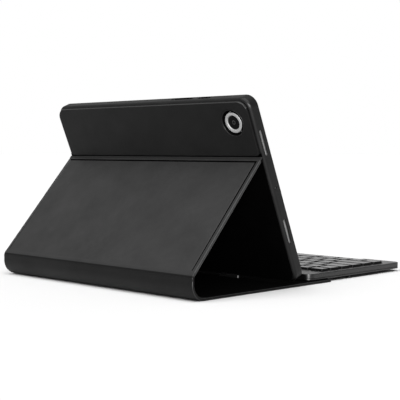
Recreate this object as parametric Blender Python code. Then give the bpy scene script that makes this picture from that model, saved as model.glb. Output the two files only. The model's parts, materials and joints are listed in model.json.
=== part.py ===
"""Tablet keyboard case, standing as a wedge with a tablet in its tray.

Metres, +Z up. The user sits on the -Y side and +X is the user's right. The origin lies on
the table, in the middle of the width, under the lower back edge of the tray.

Every panel is drawn as it lies when the whole case is opened flat: X is the width, Y runs
towards the top edge of the tray and Z points to the lined side. An empty on each hinge line
turns its panel into the standing position.
"""

import math

import bmesh
import bpy
from mathutils import Matrix, Vector

MM = 0.001

# ---- tablet -------------------------------------------------------------------------------
TABLET_WIDTH = 246.6 * MM
TABLET_HEIGHT = 161.8 * MM
TABLET_THICKNESS = 7.0 * MM
TABLET_CORNER_RADIUS = 8.0 * MM
GLASS_THICKNESS = 0.9 * MM
CAMERA_FROM_SIDE = 19.8 * MM
CAMERA_FROM_TOP = 17.0 * MM
CAMERA_RING_RADIUS = 8.9 * MM
CAMERA_RING_WIDTH = 2.7 * MM
CAMERA_RING_HEIGHT = 3.0 * MM
CAMERA_LENS_HEIGHT = 2.3 * MM
VOLUME_KEY_LENGTH = 22.0 * MM
VOLUME_KEY_FROM_CENTRE = 43.9 * MM
POWER_KEY_LENGTH = 10.0 * MM
POWER_KEY_FROM_CENTRE = 70.6 * MM
EDGE_KEY_WIDTH = 2.2 * MM
EDGE_KEY_PROUD = 0.3 * MM
EDGE_KEY_SUNK = 1.2 * MM
EDGE_KEY_TRAVEL = 0.4 * MM
EDGE_KEY_BELOW_FRONT = 2.2 * MM

# ---- tray ---------------------------------------------------------------------------------
TABLET_CLEARANCE = 0.35 * MM
TRAY_SIDE_WALL = 1.35 * MM
TRAY_END_WALL = 2.75 * MM
TRAY_FLOOR = 1.2 * MM
TRAY_RIM_ABOVE_GLASS = 1.5 * MM
TRAY_BACK_FILLET = 3.2 * MM
TRAY_RIM_FILLET = 0.6 * MM
TRAY_LEAN = math.radians(22.4)
CAMERA_CUTOUT_CLEARANCE = 3.1 * MM
CAMERA_OPENING_CLEARANCE = 1.0 * MM
CAMERA_COLLAR_LIP = 0.4 * MM
SPEAKER_SLOT_LENGTH = 22.5 * MM
SPEAKER_SLOT_WIDTH = 3.0 * MM
SPEAKER_SLOT_FROM_CENTRE = 40.1 * MM
SIDE_SLOT_FROM_BACK = 4.9 * MM
SIDE_SLOTS_ABOVE_MIDDLE = 3.4 * MM
MIC_HOLE_RADIUS = 1.1 * MM
SOCKET_CUTOUT_LENGTH = 13.5 * MM
SOCKET_CUTOUT_WIDTH = 6.4 * MM
EDGE_KEY_NOTCH_MARGIN = 1.8 * MM
EDGE_KEY_NOTCH_RIM = 1.0 * MM

# ---- cover panels -------------------------------------------------------------------------
COVER_WIDTH = 250.4 * MM
SKIN = 0.5 * MM
SKIN_WALL = 0.6 * MM
BOARD = 0.8 * MM
LINING = 0.3 * MM
GAP = 0.3 * MM
BASE_FRONT = -49.0 * MM
BASE_REAR = 111.8 * MM
BASE_CORNER_RADIUS = 4.0 * MM
FLAP_CORNER_RADIUS = 2.5 * MM
SPINE_HEIGHT = 18.8 * MM
SPINE_BEND_RADIUS = 13.6 * MM
SPINE_CREASE_GAP = 1.0 * MM
FLAP_CREASE = 0.8 * MM
UPPER_PANEL_WIDTH = 245.6 * MM
UPPER_PANEL_TOP_MARGIN = 2.0 * MM
UPPER_PANEL_CORNER_RADIUS = 9.5 * MM
UPPER_PANEL_FOLD_RADIUS = 2.5 * MM
FOLD_FROM_TRAY_TOP = 51.2 * MM
FOLD_STRIP_WIDTH = 2.8 * MM
FOLD_STRIP_THICKNESS = 0.9 * MM
FOLD_CLEARANCE = 0.4 * MM
MAGNET_STRIP_LENGTH = 180.0 * MM
MAGNET_STRIP_WIDTH = 12.0 * MM
MAGNET_STRIP_FROM_FRONT = 10.0 * MM
STOP_LENGTH = 23.5 * MM
STOP_WIDTH = 4.0 * MM
STOP_HEIGHT = 3.0 * MM
STOP_FROM_CENTRE = 50.5 * MM
STOP_BEHIND_TRAY = 2.4 * MM

# ---- keyboard -----------------------------------------------------------------------------
KEYBOARD_WIDTH = 242.4 * MM
KEYBOARD_DEPTH = 141.0 * MM
KEYBOARD_BEHIND_TRAY_FRONT = 12.2 * MM
KEYBOARD_CORNER_RADIUS = 7.0 * MM
KEYBOARD_EDGE_FILLET = 0.7 * MM
DECK_THICKNESS = 1.0 * MM
CASE_WALL = 1.4 * MM
CASE_FLOOR = 0.8 * MM
FRONT_BAR = 8.0 * MM
LOWER_CASE_HEIGHT = 1.5 * MM
THUMB_SCOOP_LENGTH = 158.0 * MM
THUMB_SCOOP_WIDTH = 6.0 * MM
THUMB_SCOOP_DEPTH = 1.1 * MM
KEY_PITCH_X = 16.45 * MM
KEY_PITCH_Y = 16.7 * MM
FUNCTION_ROW_PITCH = 12.6 * MM
KEYS_FROM_REAR = 25.6 * MM
KEY_SPACING = 1.9 * MM
KEY_CLEARANCE = 0.35 * MM
KEY_PROUD = 2.0 * MM
KEY_TRAVEL = 1.0 * MM
KEY_TAPER = 0.5 * MM
KEY_WEB = 0.7 * MM
KEY_WEB_BELOW_DECK = 0.5 * MM
KEY_WEB_MARGIN = 0.4 * MM
DOME_SHEET = 0.5 * MM
SUPPORT_PLATE = 0.5 * MM
CIRCUIT_BOARD_LENGTH = 70.0 * MM
CIRCUIT_BOARD_WIDTH = 17.0 * MM
CIRCUIT_BOARD_THICKNESS = 1.0 * MM
BATTERY_LENGTH = 90.0 * MM
BATTERY_WIDTH = 18.0 * MM
BATTERY_THICKNESS = 2.8 * MM
USB_SOCKET_LENGTH = 7.0 * MM
USB_SOCKET_WIDTH = 8.8 * MM
USB_SOCKET_THICKNESS = 2.9 * MM
SWITCH_CAP_LENGTH = 4.0 * MM
SWITCH_CAP_HEIGHT = 1.6 * MM
SWITCH_CAP_PROUD = 0.6 * MM
SWITCH_TRAVEL = 2.0 * MM
INDICATOR_LENGTH = 16.0 * MM
INDICATOR_WIDTH = 2.0 * MM
BATTERY_FROM_BOARD = 5.0 * MM
SWITCH_FROM_SOCKET = 3.6 * MM
REST_PAD_DEPTH = 47.0 * MM
REST_PAD_FROM_REAR = 60.0 * MM
REST_PAD_SIDE_MARGIN = 1.0 * MM

# Rows from the rear to the front. A group is (node name, key widths in key units).
KEY_ROWS = [
    [("key_escape", [1]), ("key_block_function", [1] * 12), ("key_delete", [1])],
    [("key_block_numbers", [1] * 12), ("key_backspace", [2])],
    [("key_tab", [1.5]), ("key_block_letters_upper", [1] * 11), ("key_backslash", [1.5])],
    [("key_caps_lock", [1.75]), ("key_block_letters_home", [1] * 10), ("key_enter", [2.25])],
    [("key_shift_left", [2.25]), ("key_block_letters_lower", [1] * 9),
     ("key_shift_right", [1.75]), ("key_arrow_up", [1])],
    [("key_function_shift", [1]), ("key_control", [1]), ("key_option", [1]),
     ("key_command_left", [1.25]), ("key_space", [4.75]), ("key_command_right", [1.25]),
     ("key_symbols", [0.75]), ("key_arrow_left", [1]), ("key_arrow_down", [1]),
     ("key_arrow_right", [1])],
]

# ---- derived sizes ------------------------------------------------------------------------
PANEL = SKIN + GAP + BOARD + GAP + LINING
CAVITY_WIDTH = TABLET_WIDTH + 2 * TABLET_CLEARANCE
CAVITY_HEIGHT = TABLET_HEIGHT + 2 * TABLET_CLEARANCE
TRAY_WIDTH = CAVITY_WIDTH + 2 * TRAY_SIDE_WALL
TRAY_HEIGHT = CAVITY_HEIGHT + 2 * TRAY_END_WALL
TRAY_DEPTH = TRAY_FLOOR + GAP + TABLET_THICKNESS + TRAY_RIM_ABOVE_GLASS
CAVITY_CORNER_RADIUS = TABLET_CORNER_RADIUS + TABLET_CLEARANCE
TRAY_CORNER_RADIUS = CAVITY_CORNER_RADIUS + TRAY_SIDE_WALL
LENS_RADIUS = CAMERA_RING_RADIUS - CAMERA_RING_WIDTH - GAP
CAMERA_CUTOUT_RADIUS = CAMERA_RING_RADIUS + CAMERA_CUTOUT_CLEARANCE
CAMERA_OPENING_RADIUS = CAMERA_RING_RADIUS + CAMERA_OPENING_CLEARANCE
CAMERA_COLLAR_RADIUS = CAMERA_CUTOUT_RADIUS - GAP

# Rest position, worked out as lengths along Y and Z from the tray's lower back edge.
TRAY_ANGLE = math.pi / 2 - TRAY_LEAN
TRAY_FOOT = Vector((0, 0, PANEL + GAP))
ALONG_TRAY = Vector((0, math.cos(TRAY_ANGLE), math.sin(TRAY_ANGLE)))
TRAY_FRONT = Vector((0, -math.sin(TRAY_ANGLE), math.cos(TRAY_ANGLE)))
BACK_ABOVE_PIVOT = PANEL / 2 + GAP
FOLD_PIVOT = (TRAY_FOOT + ALONG_TRAY * (TRAY_HEIGHT - FOLD_FROM_TRAY_TOP)
              - TRAY_FRONT * BACK_ABOVE_PIVOT)
EDGE_KEY_FROM_BACK = TABLET_THICKNESS - EDGE_KEY_BELOW_FRONT
BEND_START = BASE_REAR + SPINE_CREASE_GAP
BEND_LENGTH = math.pi / 2 * (SPINE_BEND_RADIUS - PANEL / 2)
SPINE_OUTSIDE = BEND_START + SPINE_BEND_RADIUS
SPINE_PIVOT = Vector((0, BEND_START + BEND_LENGTH / 2, SPINE_BEND_RADIUS - BEND_LENGTH / 2))
FLAP_PIVOT = Vector((0, SPINE_OUTSIDE - PANEL / 2, SPINE_HEIGHT + FLAP_CREASE))
FLAP_LINE = FOLD_PIVOT - FLAP_PIVOT
FLAP_ANGLE = math.atan2(FLAP_LINE.z, FLAP_LINE.y)
FLAP_LENGTH = FLAP_LINE.length
FOLD_EDGE = FOLD_STRIP_WIDTH / 2 + FOLD_CLEARANCE

KEYBOARD_REAR = -TRAY_DEPTH * math.cos(TRAY_LEAN) - KEYBOARD_BEHIND_TRAY_FRONT
KEYBOARD_MIDDLE = KEYBOARD_REAR - KEYBOARD_DEPTH / 2
KEYBOARD_BOTTOM = PANEL + GAP
# Layers of the keyboard, from its underside up; a pressed key stops just above the domes.
LAYERS_BOTTOM = CASE_FLOOR + GAP
SHEET_BOTTOM = LAYERS_BOTTOM + SUPPORT_PLATE + GAP
WEB_BOTTOM = SHEET_BOTTOM + DOME_SHEET + GAP + KEY_TRAVEL
WEB_TOP = WEB_BOTTOM + KEY_WEB
DECK_UNDERSIDE = WEB_TOP + KEY_WEB_BELOW_DECK
KEYBOARD_THICKNESS = DECK_UNDERSIDE + DECK_THICKNESS
KEY_TOP = KEYBOARD_THICKNESS + KEY_PROUD
KEYS_REAR = KEYBOARD_DEPTH / 2 - KEYS_FROM_REAR
KEY_AREA_UNITS = 14
KEY_AREA_WIDTH = KEY_AREA_UNITS * KEY_PITCH_X
SHEET_HALF_WIDTH = KEY_AREA_WIDTH / 2 + 1.0 * MM
ROW_DEPTHS = [FUNCTION_ROW_PITCH] + [KEY_PITCH_Y] * (len(KEY_ROWS) - 1)


# ---- materials ----------------------------------------------------------------------------
def material(name, colour, roughness, metallic=0.0):
    """One Principled material."""
    made = bpy.data.materials.new(name)
    made.use_nodes = True
    shader = made.node_tree.nodes["Principled BSDF"]
    shader.inputs["Base Color"].default_value = (*colour, 1.0)
    shader.inputs["Roughness"].default_value = roughness
    shader.inputs["Metallic"].default_value = metallic
    return made


def clear_scene():
    for thing in list(bpy.data.objects):
        bpy.data.objects.remove(thing, do_unlink=True)


clear_scene()
LEATHER = material("cover_leather", (0.035, 0.035, 0.037), 0.55)
LEATHER_DARK = material("spine_leather", (0.022, 0.022, 0.024), 0.6)
BOARD_GREY = material("stiffener_board", (0.25, 0.23, 0.2), 0.9)
MICROFIBRE = material("microfibre_lining", (0.02, 0.02, 0.021), 0.95)
TPU = material("soft_tray", (0.03, 0.03, 0.032), 0.5)
MAGNET = material("magnet_steel", (0.5, 0.5, 0.52), 0.35, 1.0)
ALUMINIUM = material("tablet_aluminium", (0.35, 0.36, 0.38), 0.35, 1.0)
GLASS = material("display_glass", (0.01, 0.01, 0.012), 0.05)
RING_METAL = material("camera_ring_metal", (0.7, 0.71, 0.73), 0.25, 1.0)
LENS = material("lens_glass", (0.01, 0.01, 0.015), 0.05)
CASE_PLASTIC = material("keyboard_plastic", (0.035, 0.035, 0.037), 0.45)
KEY_PLASTIC = material("key_plastic", (0.06, 0.06, 0.062), 0.5)
RUBBER = material("dome_rubber", (0.05, 0.05, 0.05), 0.8)
STEEL = material("plate_steel", (0.45, 0.45, 0.46), 0.4, 1.0)
CIRCUIT = material("circuit_green", (0.02, 0.12, 0.05), 0.5)
FOIL = material("battery_foil", (0.4, 0.41, 0.43), 0.4, 0.6)
CLEAR = material("indicator_plastic", (0.6, 0.62, 0.65), 0.3)


# ---- modelling helpers --------------------------------------------------------------------
def hinge_empty(name, location, angle=0.0, parent=None):
    """An empty on a joint's axis, turned about X by the given angle."""
    made = bpy.data.objects.new(name, None)
    bpy.context.scene.collection.objects.link(made)
    made.location = location
    made.rotation_euler = (angle, 0, 0)
    made.parent = parent
    return made


def add_object(name, mesh_data, finish, parent=None, cutter=False):
    """Link a bmesh as a named object; a cutter stays out of the build."""
    bmesh.ops.recalc_face_normals(mesh_data, faces=mesh_data.faces)
    mesh = bpy.data.meshes.new(name)
    mesh_data.to_mesh(mesh)
    mesh_data.free()
    made = bpy.data.objects.new(name, mesh)
    bpy.context.scene.collection.objects.link(made)
    made.parent = parent
    if finish is not None:
        mesh.materials.append(finish)
    if cutter:
        made.hide_render = True
        made.display_type = "WIRE"
    return made


def modify(target, tool, operation):
    """Boolean between two objects that share a parent."""
    change = target.modifiers.new(tool.name, "BOOLEAN")
    change.object = tool
    change.operation = operation
    change.solver = "EXACT"


def rounded_outline(size_x, size_y, far_radius, steps, near_radius=None):
    """Corner-rounded rectangle about the origin, counter-clockwise."""
    if near_radius is None:
        near_radius = far_radius
    points = []
    for corner, (sign_x, sign_y) in enumerate([(1, 1), (-1, 1), (-1, -1), (1, -1)]):
        radius = far_radius if sign_y > 0 else near_radius
        centre_x = sign_x * (size_x / 2 - radius)
        centre_y = sign_y * (size_y / 2 - radius)
        for step in range(steps + 1):
            turn = math.pi / 2 * (corner + step / steps)
            points.append((centre_x + radius * math.cos(turn), centre_y + radius * math.sin(turn)))
    return points


def loft(rings):
    """Closed solid through equal rings of points, capped at both ends."""
    shape = bmesh.new()
    made = [[shape.verts.new(point) for point in ring] for ring in rings]
    for lower, upper in zip(made, made[1:]):
        for place in range(len(lower)):
            following = (place + 1) % len(lower)
            shape.faces.new((lower[place], lower[following], upper[following], upper[place]))
    shape.faces.new(list(reversed(made[0])))
    shape.faces.new(made[-1])
    return shape


def slab(size_x, size_y, levels, radius, steps=4, centre=(0, 0), near_radius=None):
    """Rounded slab: each level is (z, how far its outline is drawn in)."""
    rings = []
    if near_radius is None:
        near_radius = radius
    for height, inset in levels:
        far, near = (max(corner - inset, corner * 0.2) for corner in (radius, near_radius))
        outline = rounded_outline(size_x - 2 * inset, size_y - 2 * inset, far, steps, near)
        rings.append([(x + centre[0], y + centre[1], height) for x, y in outline])
    return loft(rings)


def block(low, high):
    """Plain box between two corners, for cutters and hidden layers."""
    shape = bmesh.new()
    low = Vector(low)
    high = Vector(high)
    middle = Matrix.Translation((low + high) / 2)
    bmesh.ops.create_cube(shape, size=1.0, matrix=middle @ Matrix.Diagonal((*(high - low), 1)))
    return shape


def turned(profile, centre, steps=32):
    """Solid turned on the local Z axis through (radius, z) points."""
    turns = [math.tau * step / steps for step in range(steps)]
    return loft([[(centre[0] + radius * math.cos(turn), centre[1] + radius * math.sin(turn),
                   height) for turn in turns] for radius, height in profile])


def drum(radius, low, high, centre):
    return turned([(radius, low), (radius, high)], centre)


def cut(target, name, shape):
    modify(target, add_object(name, shape, None, target.parent, cutter=True), "DIFFERENCE")


def fillet_levels(height, radius, steps, top):
    """Levels that round one edge of a slab, at its bottom or its top."""
    levels = []
    for step in range(steps + 1):
        turn = math.pi / 2 * step / steps
        inset = radius * (1 - math.sin(turn))
        rise = radius * (1 - math.cos(turn))
        levels.append((height - rise, inset) if top else (height + rise, inset))
    return list(reversed(levels)) if top else levels


# ---- panels of the cover ------------------------------------------------------------------
def panel(name, width, near, far, radius, parent, lined=True, near_radius=None):
    """Skin, board and lining of one flat panel, local Z from -PANEL/2 to PANEL/2."""
    if near_radius is None:
        near_radius = radius
    low = -PANEL / 2
    high = PANEL / 2
    edge = 0.3 * MM
    middle = (0, (near + far) / 2)
    length = far - near
    margin = SKIN_WALL + GAP
    board_low = low + SKIN + GAP
    lining_low = board_low + BOARD + GAP
    skin_levels = [(low, edge), (low + edge, 0), (high - edge, 0), (high, edge)]
    skin = add_object(name + "_cover",
                      slab(width, length, skin_levels, radius, 4, middle, near_radius),
                      LEATHER, parent)
    cut(skin, name + "_pocket", slab(width - 2 * SKIN_WALL, length - 2 * SKIN_WALL,
                                     [(low + SKIN, 0), (PANEL, 0)], radius - SKIN_WALL, 4, middle,
                                     near_radius - SKIN_WALL))
    inside = (width - 2 * margin, length - 2 * margin)
    board = add_object(name + "_board",
                       slab(*inside, [(board_low, 0), (board_low + BOARD, 0)], radius - margin, 3,
                            middle, near_radius - margin), BOARD_GREY, parent)
    if lined:
        add_object(name + "_lining",
                   slab(*inside, [(lining_low, 0), (lining_low + LINING, 0)], radius - margin, 3,
                        middle, near_radius - margin), MICROFIBRE, parent)
    return skin, board


def build_base():
    """Base panel on the table, its keyboard magnet and the two stops behind the tray."""
    frame = hinge_empty("base_frame", (0, 0, PANEL / 2))
    board = panel("base", COVER_WIDTH, BASE_FRONT, BASE_REAR, BASE_CORNER_RADIUS, frame)[1]
    centre = Vector((0, BASE_FRONT + MAGNET_STRIP_FROM_FRONT + MAGNET_STRIP_WIDTH / 2, 0))
    half = Vector((MAGNET_STRIP_LENGTH / 2, MAGNET_STRIP_WIDTH / 2, 0))
    room = half + Vector((GAP, GAP, PANEL))
    cut(board, "magnet_room", block(centre - room, centre + room))
    board_low = Vector((0, 0, -PANEL / 2 + SKIN + GAP))
    board_high = board_low + Vector((0, 0, BOARD))
    add_object("base_magnet_strip", block(centre - half + board_low, centre + half + board_high),
               MAGNET, frame)
    stop_low = PANEL / 2 + GAP
    stop_high = PANEL / 2 + STOP_HEIGHT
    edge = 0.8 * MM
    for name, side in (("tray_stop_left", -1), ("tray_stop_right", 1)):
        spot = (side * STOP_FROM_CENTRE, STOP_BEHIND_TRAY + STOP_WIDTH / 2)
        add_object(name, slab(STOP_LENGTH, STOP_WIDTH,
                              [(stop_low, 0), (stop_high - edge, 0), (stop_high, edge)],
                              STOP_WIDTH * 0.4, 3, spot), LEATHER, frame)


def bent_layer(outer_depth, inner_depth, top, width, steps=7):
    """A layer of the spine about its pivot: a quarter bend off the table, then upright."""
    outer = []
    inner = []
    for points, depth in ((outer, outer_depth), (inner, inner_depth)):
        radius = SPINE_BEND_RADIUS - depth
        for step in range(steps + 1):
            turn = math.pi / 2 * (step / steps - 1)
            points.append((BEND_START + radius * math.cos(turn),
                           SPINE_BEND_RADIUS + radius * math.sin(turn)))
        points.append((BEND_START + radius, top))
    outline = outer + list(reversed(inner))
    rings = []
    for side in (-width / 2, width / 2):
        rings.append([(side, y - SPINE_PIVOT.y, z - SPINE_PIVOT.z) for y, z in outline])
    return loft(rings)


def build_spine():
    """Spine behind the base: bent skin and lining with a flat board in its upright part."""
    frame = hinge_empty("spine_hinge", SPINE_PIVOT)
    margin = SKIN_WALL + GAP
    add_object("spine_cover", bent_layer(0, SKIN, SPINE_HEIGHT, COVER_WIDTH), LEATHER_DARK, frame)
    outside = SPINE_OUTSIDE - SKIN - GAP - SPINE_PIVOT.y
    low = SPINE_BEND_RADIUS - SPINE_PIVOT.z
    high = SPINE_HEIGHT - margin - SPINE_PIVOT.z
    half_width = COVER_WIDTH / 2 - margin
    add_object("spine_board", block((-half_width, outside - BOARD, low),
                                    (half_width, outside, high)), BOARD_GREY, frame)
    lining_depth = PANEL - LINING
    add_object("spine_lining",
               bent_layer(lining_depth, PANEL, SPINE_HEIGHT - margin, 2 * half_width),
               MICROFIBRE, frame)


def build_flap():
    """Large flap that carries the back of the tray."""
    frame = hinge_empty("flap_hinge", FLAP_PIVOT, FLAP_ANGLE)
    panel("flap", COVER_WIDTH, FLAP_CREASE, FLAP_LENGTH - FOLD_EDGE, FLAP_CORNER_RADIUS, frame)


def build_tray(frame):
    """Moulded tray with its cut-outs, and the upper panel glued to its back."""
    tray_middle = FOLD_FROM_TRAY_TOP - TRAY_HEIGHT / 2
    back = BACK_ABOVE_PIVOT
    rim = back + TRAY_DEPTH
    levels = fillet_levels(back, TRAY_BACK_FILLET, 4, top=False)
    levels += fillet_levels(rim, TRAY_RIM_FILLET, 2, top=True)
    tray = add_object("tray", slab(TRAY_WIDTH, TRAY_HEIGHT, levels, TRAY_CORNER_RADIUS, 6,
                                   (0, tray_middle)), TPU, frame)
    cavity_levels = [(back + TRAY_FLOOR, 1.2 * MM), (back + TRAY_FLOOR + 1.2 * MM, 0),
                     (rim + TRAY_DEPTH, 0)]
    cut(tray, "tablet_room", slab(CAVITY_WIDTH, CAVITY_HEIGHT, cavity_levels,
                                  CAVITY_CORNER_RADIUS, 6, (0, tray_middle)))
    camera = camera_centre(tray_middle)
    outer_face = -PANEL / 2
    collar = add_object("camera_collar", drum(CAMERA_COLLAR_RADIUS, outer_face,
                                              back + TRAY_FLOOR / 2, camera), None, frame,
                        cutter=True)
    modify(tray, collar, "UNION")
    mouth = CAMERA_COLLAR_RADIUS - CAMERA_COLLAR_LIP
    cut(tray, "camera_window", turned([(mouth, outer_face - PANEL), (mouth, outer_face),
                                       (CAMERA_OPENING_RADIUS, back),
                                       (CAMERA_OPENING_RADIUS, back + 2 * TRAY_FLOOR)], camera))
    slot_middle = back + SIDE_SLOT_FROM_BACK
    slots_middle = tray_middle + SIDE_SLOTS_ABOVE_MIDDLE
    outside = TRAY_WIDTH
    inside = CAVITY_WIDTH / 2 - TRAY_SIDE_WALL
    for side_name, side in (("left", -1), ("right", 1)):
        openings = [("speaker_low", -SPEAKER_SLOT_FROM_CENTRE, SPEAKER_SLOT_LENGTH,
                     SPEAKER_SLOT_WIDTH),
                    ("speaker_high", SPEAKER_SLOT_FROM_CENTRE, SPEAKER_SLOT_LENGTH,
                     SPEAKER_SLOT_WIDTH)]
        if side < 0:
            openings.append(("microphone", 0, 2 * MIC_HOLE_RADIUS, 2 * MIC_HOLE_RADIUS))
        else:
            openings.append(("socket", 0, SOCKET_CUTOUT_LENGTH, SOCKET_CUTOUT_WIDTH))
        for name, offset, length, width in openings:
            opening = side_slot(side * inside, side * outside, slots_middle + offset, slot_middle,
                                length, width)
            cut(tray, name + "_" + side_name, opening)
    for name, offset, length in (("volume_notch", -VOLUME_KEY_FROM_CENTRE, VOLUME_KEY_LENGTH),
                                 ("power_notch", -POWER_KEY_FROM_CENTRE, POWER_KEY_LENGTH)):
        half = length / 2 + EDGE_KEY_NOTCH_MARGIN
        notch_low = back + TRAY_FLOOR + GAP + EDGE_KEY_FROM_BACK - EDGE_KEY_WIDTH / 2 - GAP
        cut(tray, name, block((offset - half, tray_middle + CAVITY_HEIGHT / 2 - TRAY_END_WALL,
                               notch_low),
                              (offset + half, tray_middle + TRAY_HEIGHT,
                               rim - EDGE_KEY_NOTCH_RIM)))
    upper_cover, upper_board = panel("upper_panel", UPPER_PANEL_WIDTH, FOLD_EDGE,
                                     FOLD_FROM_TRAY_TOP - UPPER_PANEL_TOP_MARGIN,
                                     UPPER_PANEL_CORNER_RADIUS, frame, lined=False,
                                     near_radius=UPPER_PANEL_FOLD_RADIUS)
    for layer, name in ((upper_cover, "cover_window"), (upper_board, "board_window")):
        radius = CAMERA_CUTOUT_RADIUS + (GAP if layer is upper_board else 0)
        cut(layer, name, drum(radius, -PANEL, PANEL, camera))
    strip = slab(COVER_WIDTH, FOLD_STRIP_WIDTH,
                 [(-FOLD_STRIP_THICKNESS / 2, 0), (FOLD_STRIP_THICKNESS / 2, 0)],
                 FOLD_STRIP_THICKNESS, 2)
    add_object("fold_strip", strip, LEATHER_DARK, frame)


def side_slot(start_x, end_x, middle_y, middle_z, length, width):
    """Round-ended cutter along X through a side wall."""
    outline = rounded_outline(length, width, width * 0.49, 4)
    if end_x < start_x:
        outline.reverse()
    rings = []
    for x in (start_x, end_x):
        rings.append([(x, middle_y + across, middle_z + up) for across, up in outline])
    return loft(rings)


def camera_centre(middle_y):
    return (-(TABLET_WIDTH / 2 - CAMERA_FROM_SIDE), middle_y + TABLET_HEIGHT / 2 - CAMERA_FROM_TOP)


def build_tablet(tray_frame):
    """Tablet: housing, display glass, camera and the two keys on its top edge."""
    middle = FOLD_FROM_TRAY_TOP - TRAY_HEIGHT / 2
    frame = hinge_empty("tablet_frame", (0, middle, BACK_ABOVE_PIVOT + TRAY_FLOOR + GAP),
                        parent=tray_frame)
    housing_top = TABLET_THICKNESS - GLASS_THICKNESS - GAP
    edge = 1.6 * MM
    levels = fillet_levels(0, edge, 3, top=False) + [(housing_top, 0)]
    housing = add_object("tablet_housing", slab(TABLET_WIDTH, TABLET_HEIGHT, levels,
                                                TABLET_CORNER_RADIUS, 6), ALUMINIUM, frame)
    glass_inset = 0.5 * MM
    glass_levels = [(housing_top + GAP, 0), (TABLET_THICKNESS - glass_inset, 0),
                    (TABLET_THICKNESS, glass_inset)]
    add_object("display_glass", slab(TABLET_WIDTH - 2 * glass_inset,
                                     TABLET_HEIGHT - 2 * glass_inset, glass_levels,
                                     TABLET_CORNER_RADIUS, 6), GLASS, frame)
    camera = camera_centre(0)
    ring = add_object("camera_ring", drum(CAMERA_RING_RADIUS, -CAMERA_RING_HEIGHT, -GAP, camera),
                      RING_METAL, frame)
    cut(ring, "ring_bore", drum(LENS_RADIUS + GAP, -TABLET_THICKNESS, TABLET_THICKNESS, camera))
    add_object("camera_lens", drum(LENS_RADIUS, -CAMERA_LENS_HEIGHT, -GAP, camera), LENS, frame)
    for name, offset, length in (("volume_key", -VOLUME_KEY_FROM_CENTRE, VOLUME_KEY_LENGTH),
                                 ("power_key", -POWER_KEY_FROM_CENTRE, POWER_KEY_LENGTH)):
        pocket_end = TABLET_HEIGHT / 2 - EDGE_KEY_SUNK
        half_x = length / 2
        half_z = EDGE_KEY_WIDTH / 2
        clear = 0.25 * MM
        cut(housing, name + "_pocket",
            block((offset - half_x - clear, pocket_end - EDGE_KEY_TRAVEL - clear,
                   EDGE_KEY_FROM_BACK - half_z - clear),
                  (offset + half_x + clear, TABLET_HEIGHT, EDGE_KEY_FROM_BACK + half_z + clear)))
        span = EDGE_KEY_SUNK + EDGE_KEY_PROUD
        key = add_object(name, block((-half_x, 0, -half_z), (half_x, span, half_z)), ALUMINIUM,
                         frame)
        key.location = (offset, pocket_end, EDGE_KEY_FROM_BACK)


# ---- keyboard -----------------------------------------------------------------------------
def key_places():
    """Every key: (node, row number, centre x, centre y, width, depth) in keyboard space."""
    places = []
    rear = KEYS_REAR
    for row_number, row in enumerate(KEY_ROWS):
        depth = ROW_DEPTHS[row_number]
        left = -KEY_AREA_WIDTH / 2
        for node, widths in row:
            for units in widths:
                width = units * KEY_PITCH_X
                places.append((node, left + width / 2, rear - depth / 2,
                               width - KEY_SPACING, depth - KEY_SPACING))
                left += width
        rear -= depth
    return places


def build_keys(frame):
    """Key caps on their webs. Neighbouring letter keys share one web below the deck."""
    nodes = {}
    for node, x, y, width, depth in key_places():
        nodes.setdefault(node, []).append((x, y, width, depth))
    flange = KEY_CLEARANCE + KEY_WEB_MARGIN
    for node, keys in nodes.items():
        x_low = min(x - width / 2 for x, y, width, depth in keys)
        x_high = max(x + width / 2 for x, y, width, depth in keys)
        middle = Vector(((x_low + x_high) / 2, keys[0][1], 0))
        half = Vector(((x_high - x_low) / 2 + flange, keys[0][3] / 2 + flange, 0))
        web = block(-half + Vector((0, 0, WEB_BOTTOM)), half + Vector((0, 0, WEB_TOP)))
        made = add_object(node, web, KEY_PLASTIC, frame)
        made.location = middle
        caps = bmesh.new()
        for x, y, width, depth in keys:
            cap = [(WEB_TOP - KEY_WEB / 2, 0), (WEB_TOP, 0), (KEY_TOP, KEY_TAPER)]
            rings = []
            for height, inset in cap:
                across = width / 2 - inset
                along = depth / 2 - inset
                rings.append([(x - middle.x + across * side_x, along * side_y, height)
                              for side_x, side_y in ((1, 1), (-1, 1), (-1, -1), (1, -1))])
            extra = loft(rings)
            part = bpy.data.meshes.new("cap")
            extra.to_mesh(part)
            extra.free()
            caps.from_mesh(part)
            bpy.data.meshes.remove(part)
        guide = add_object(node + "_caps", caps, None, frame, cutter=True)
        guide.location = middle
        modify(made, guide, "UNION")


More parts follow.
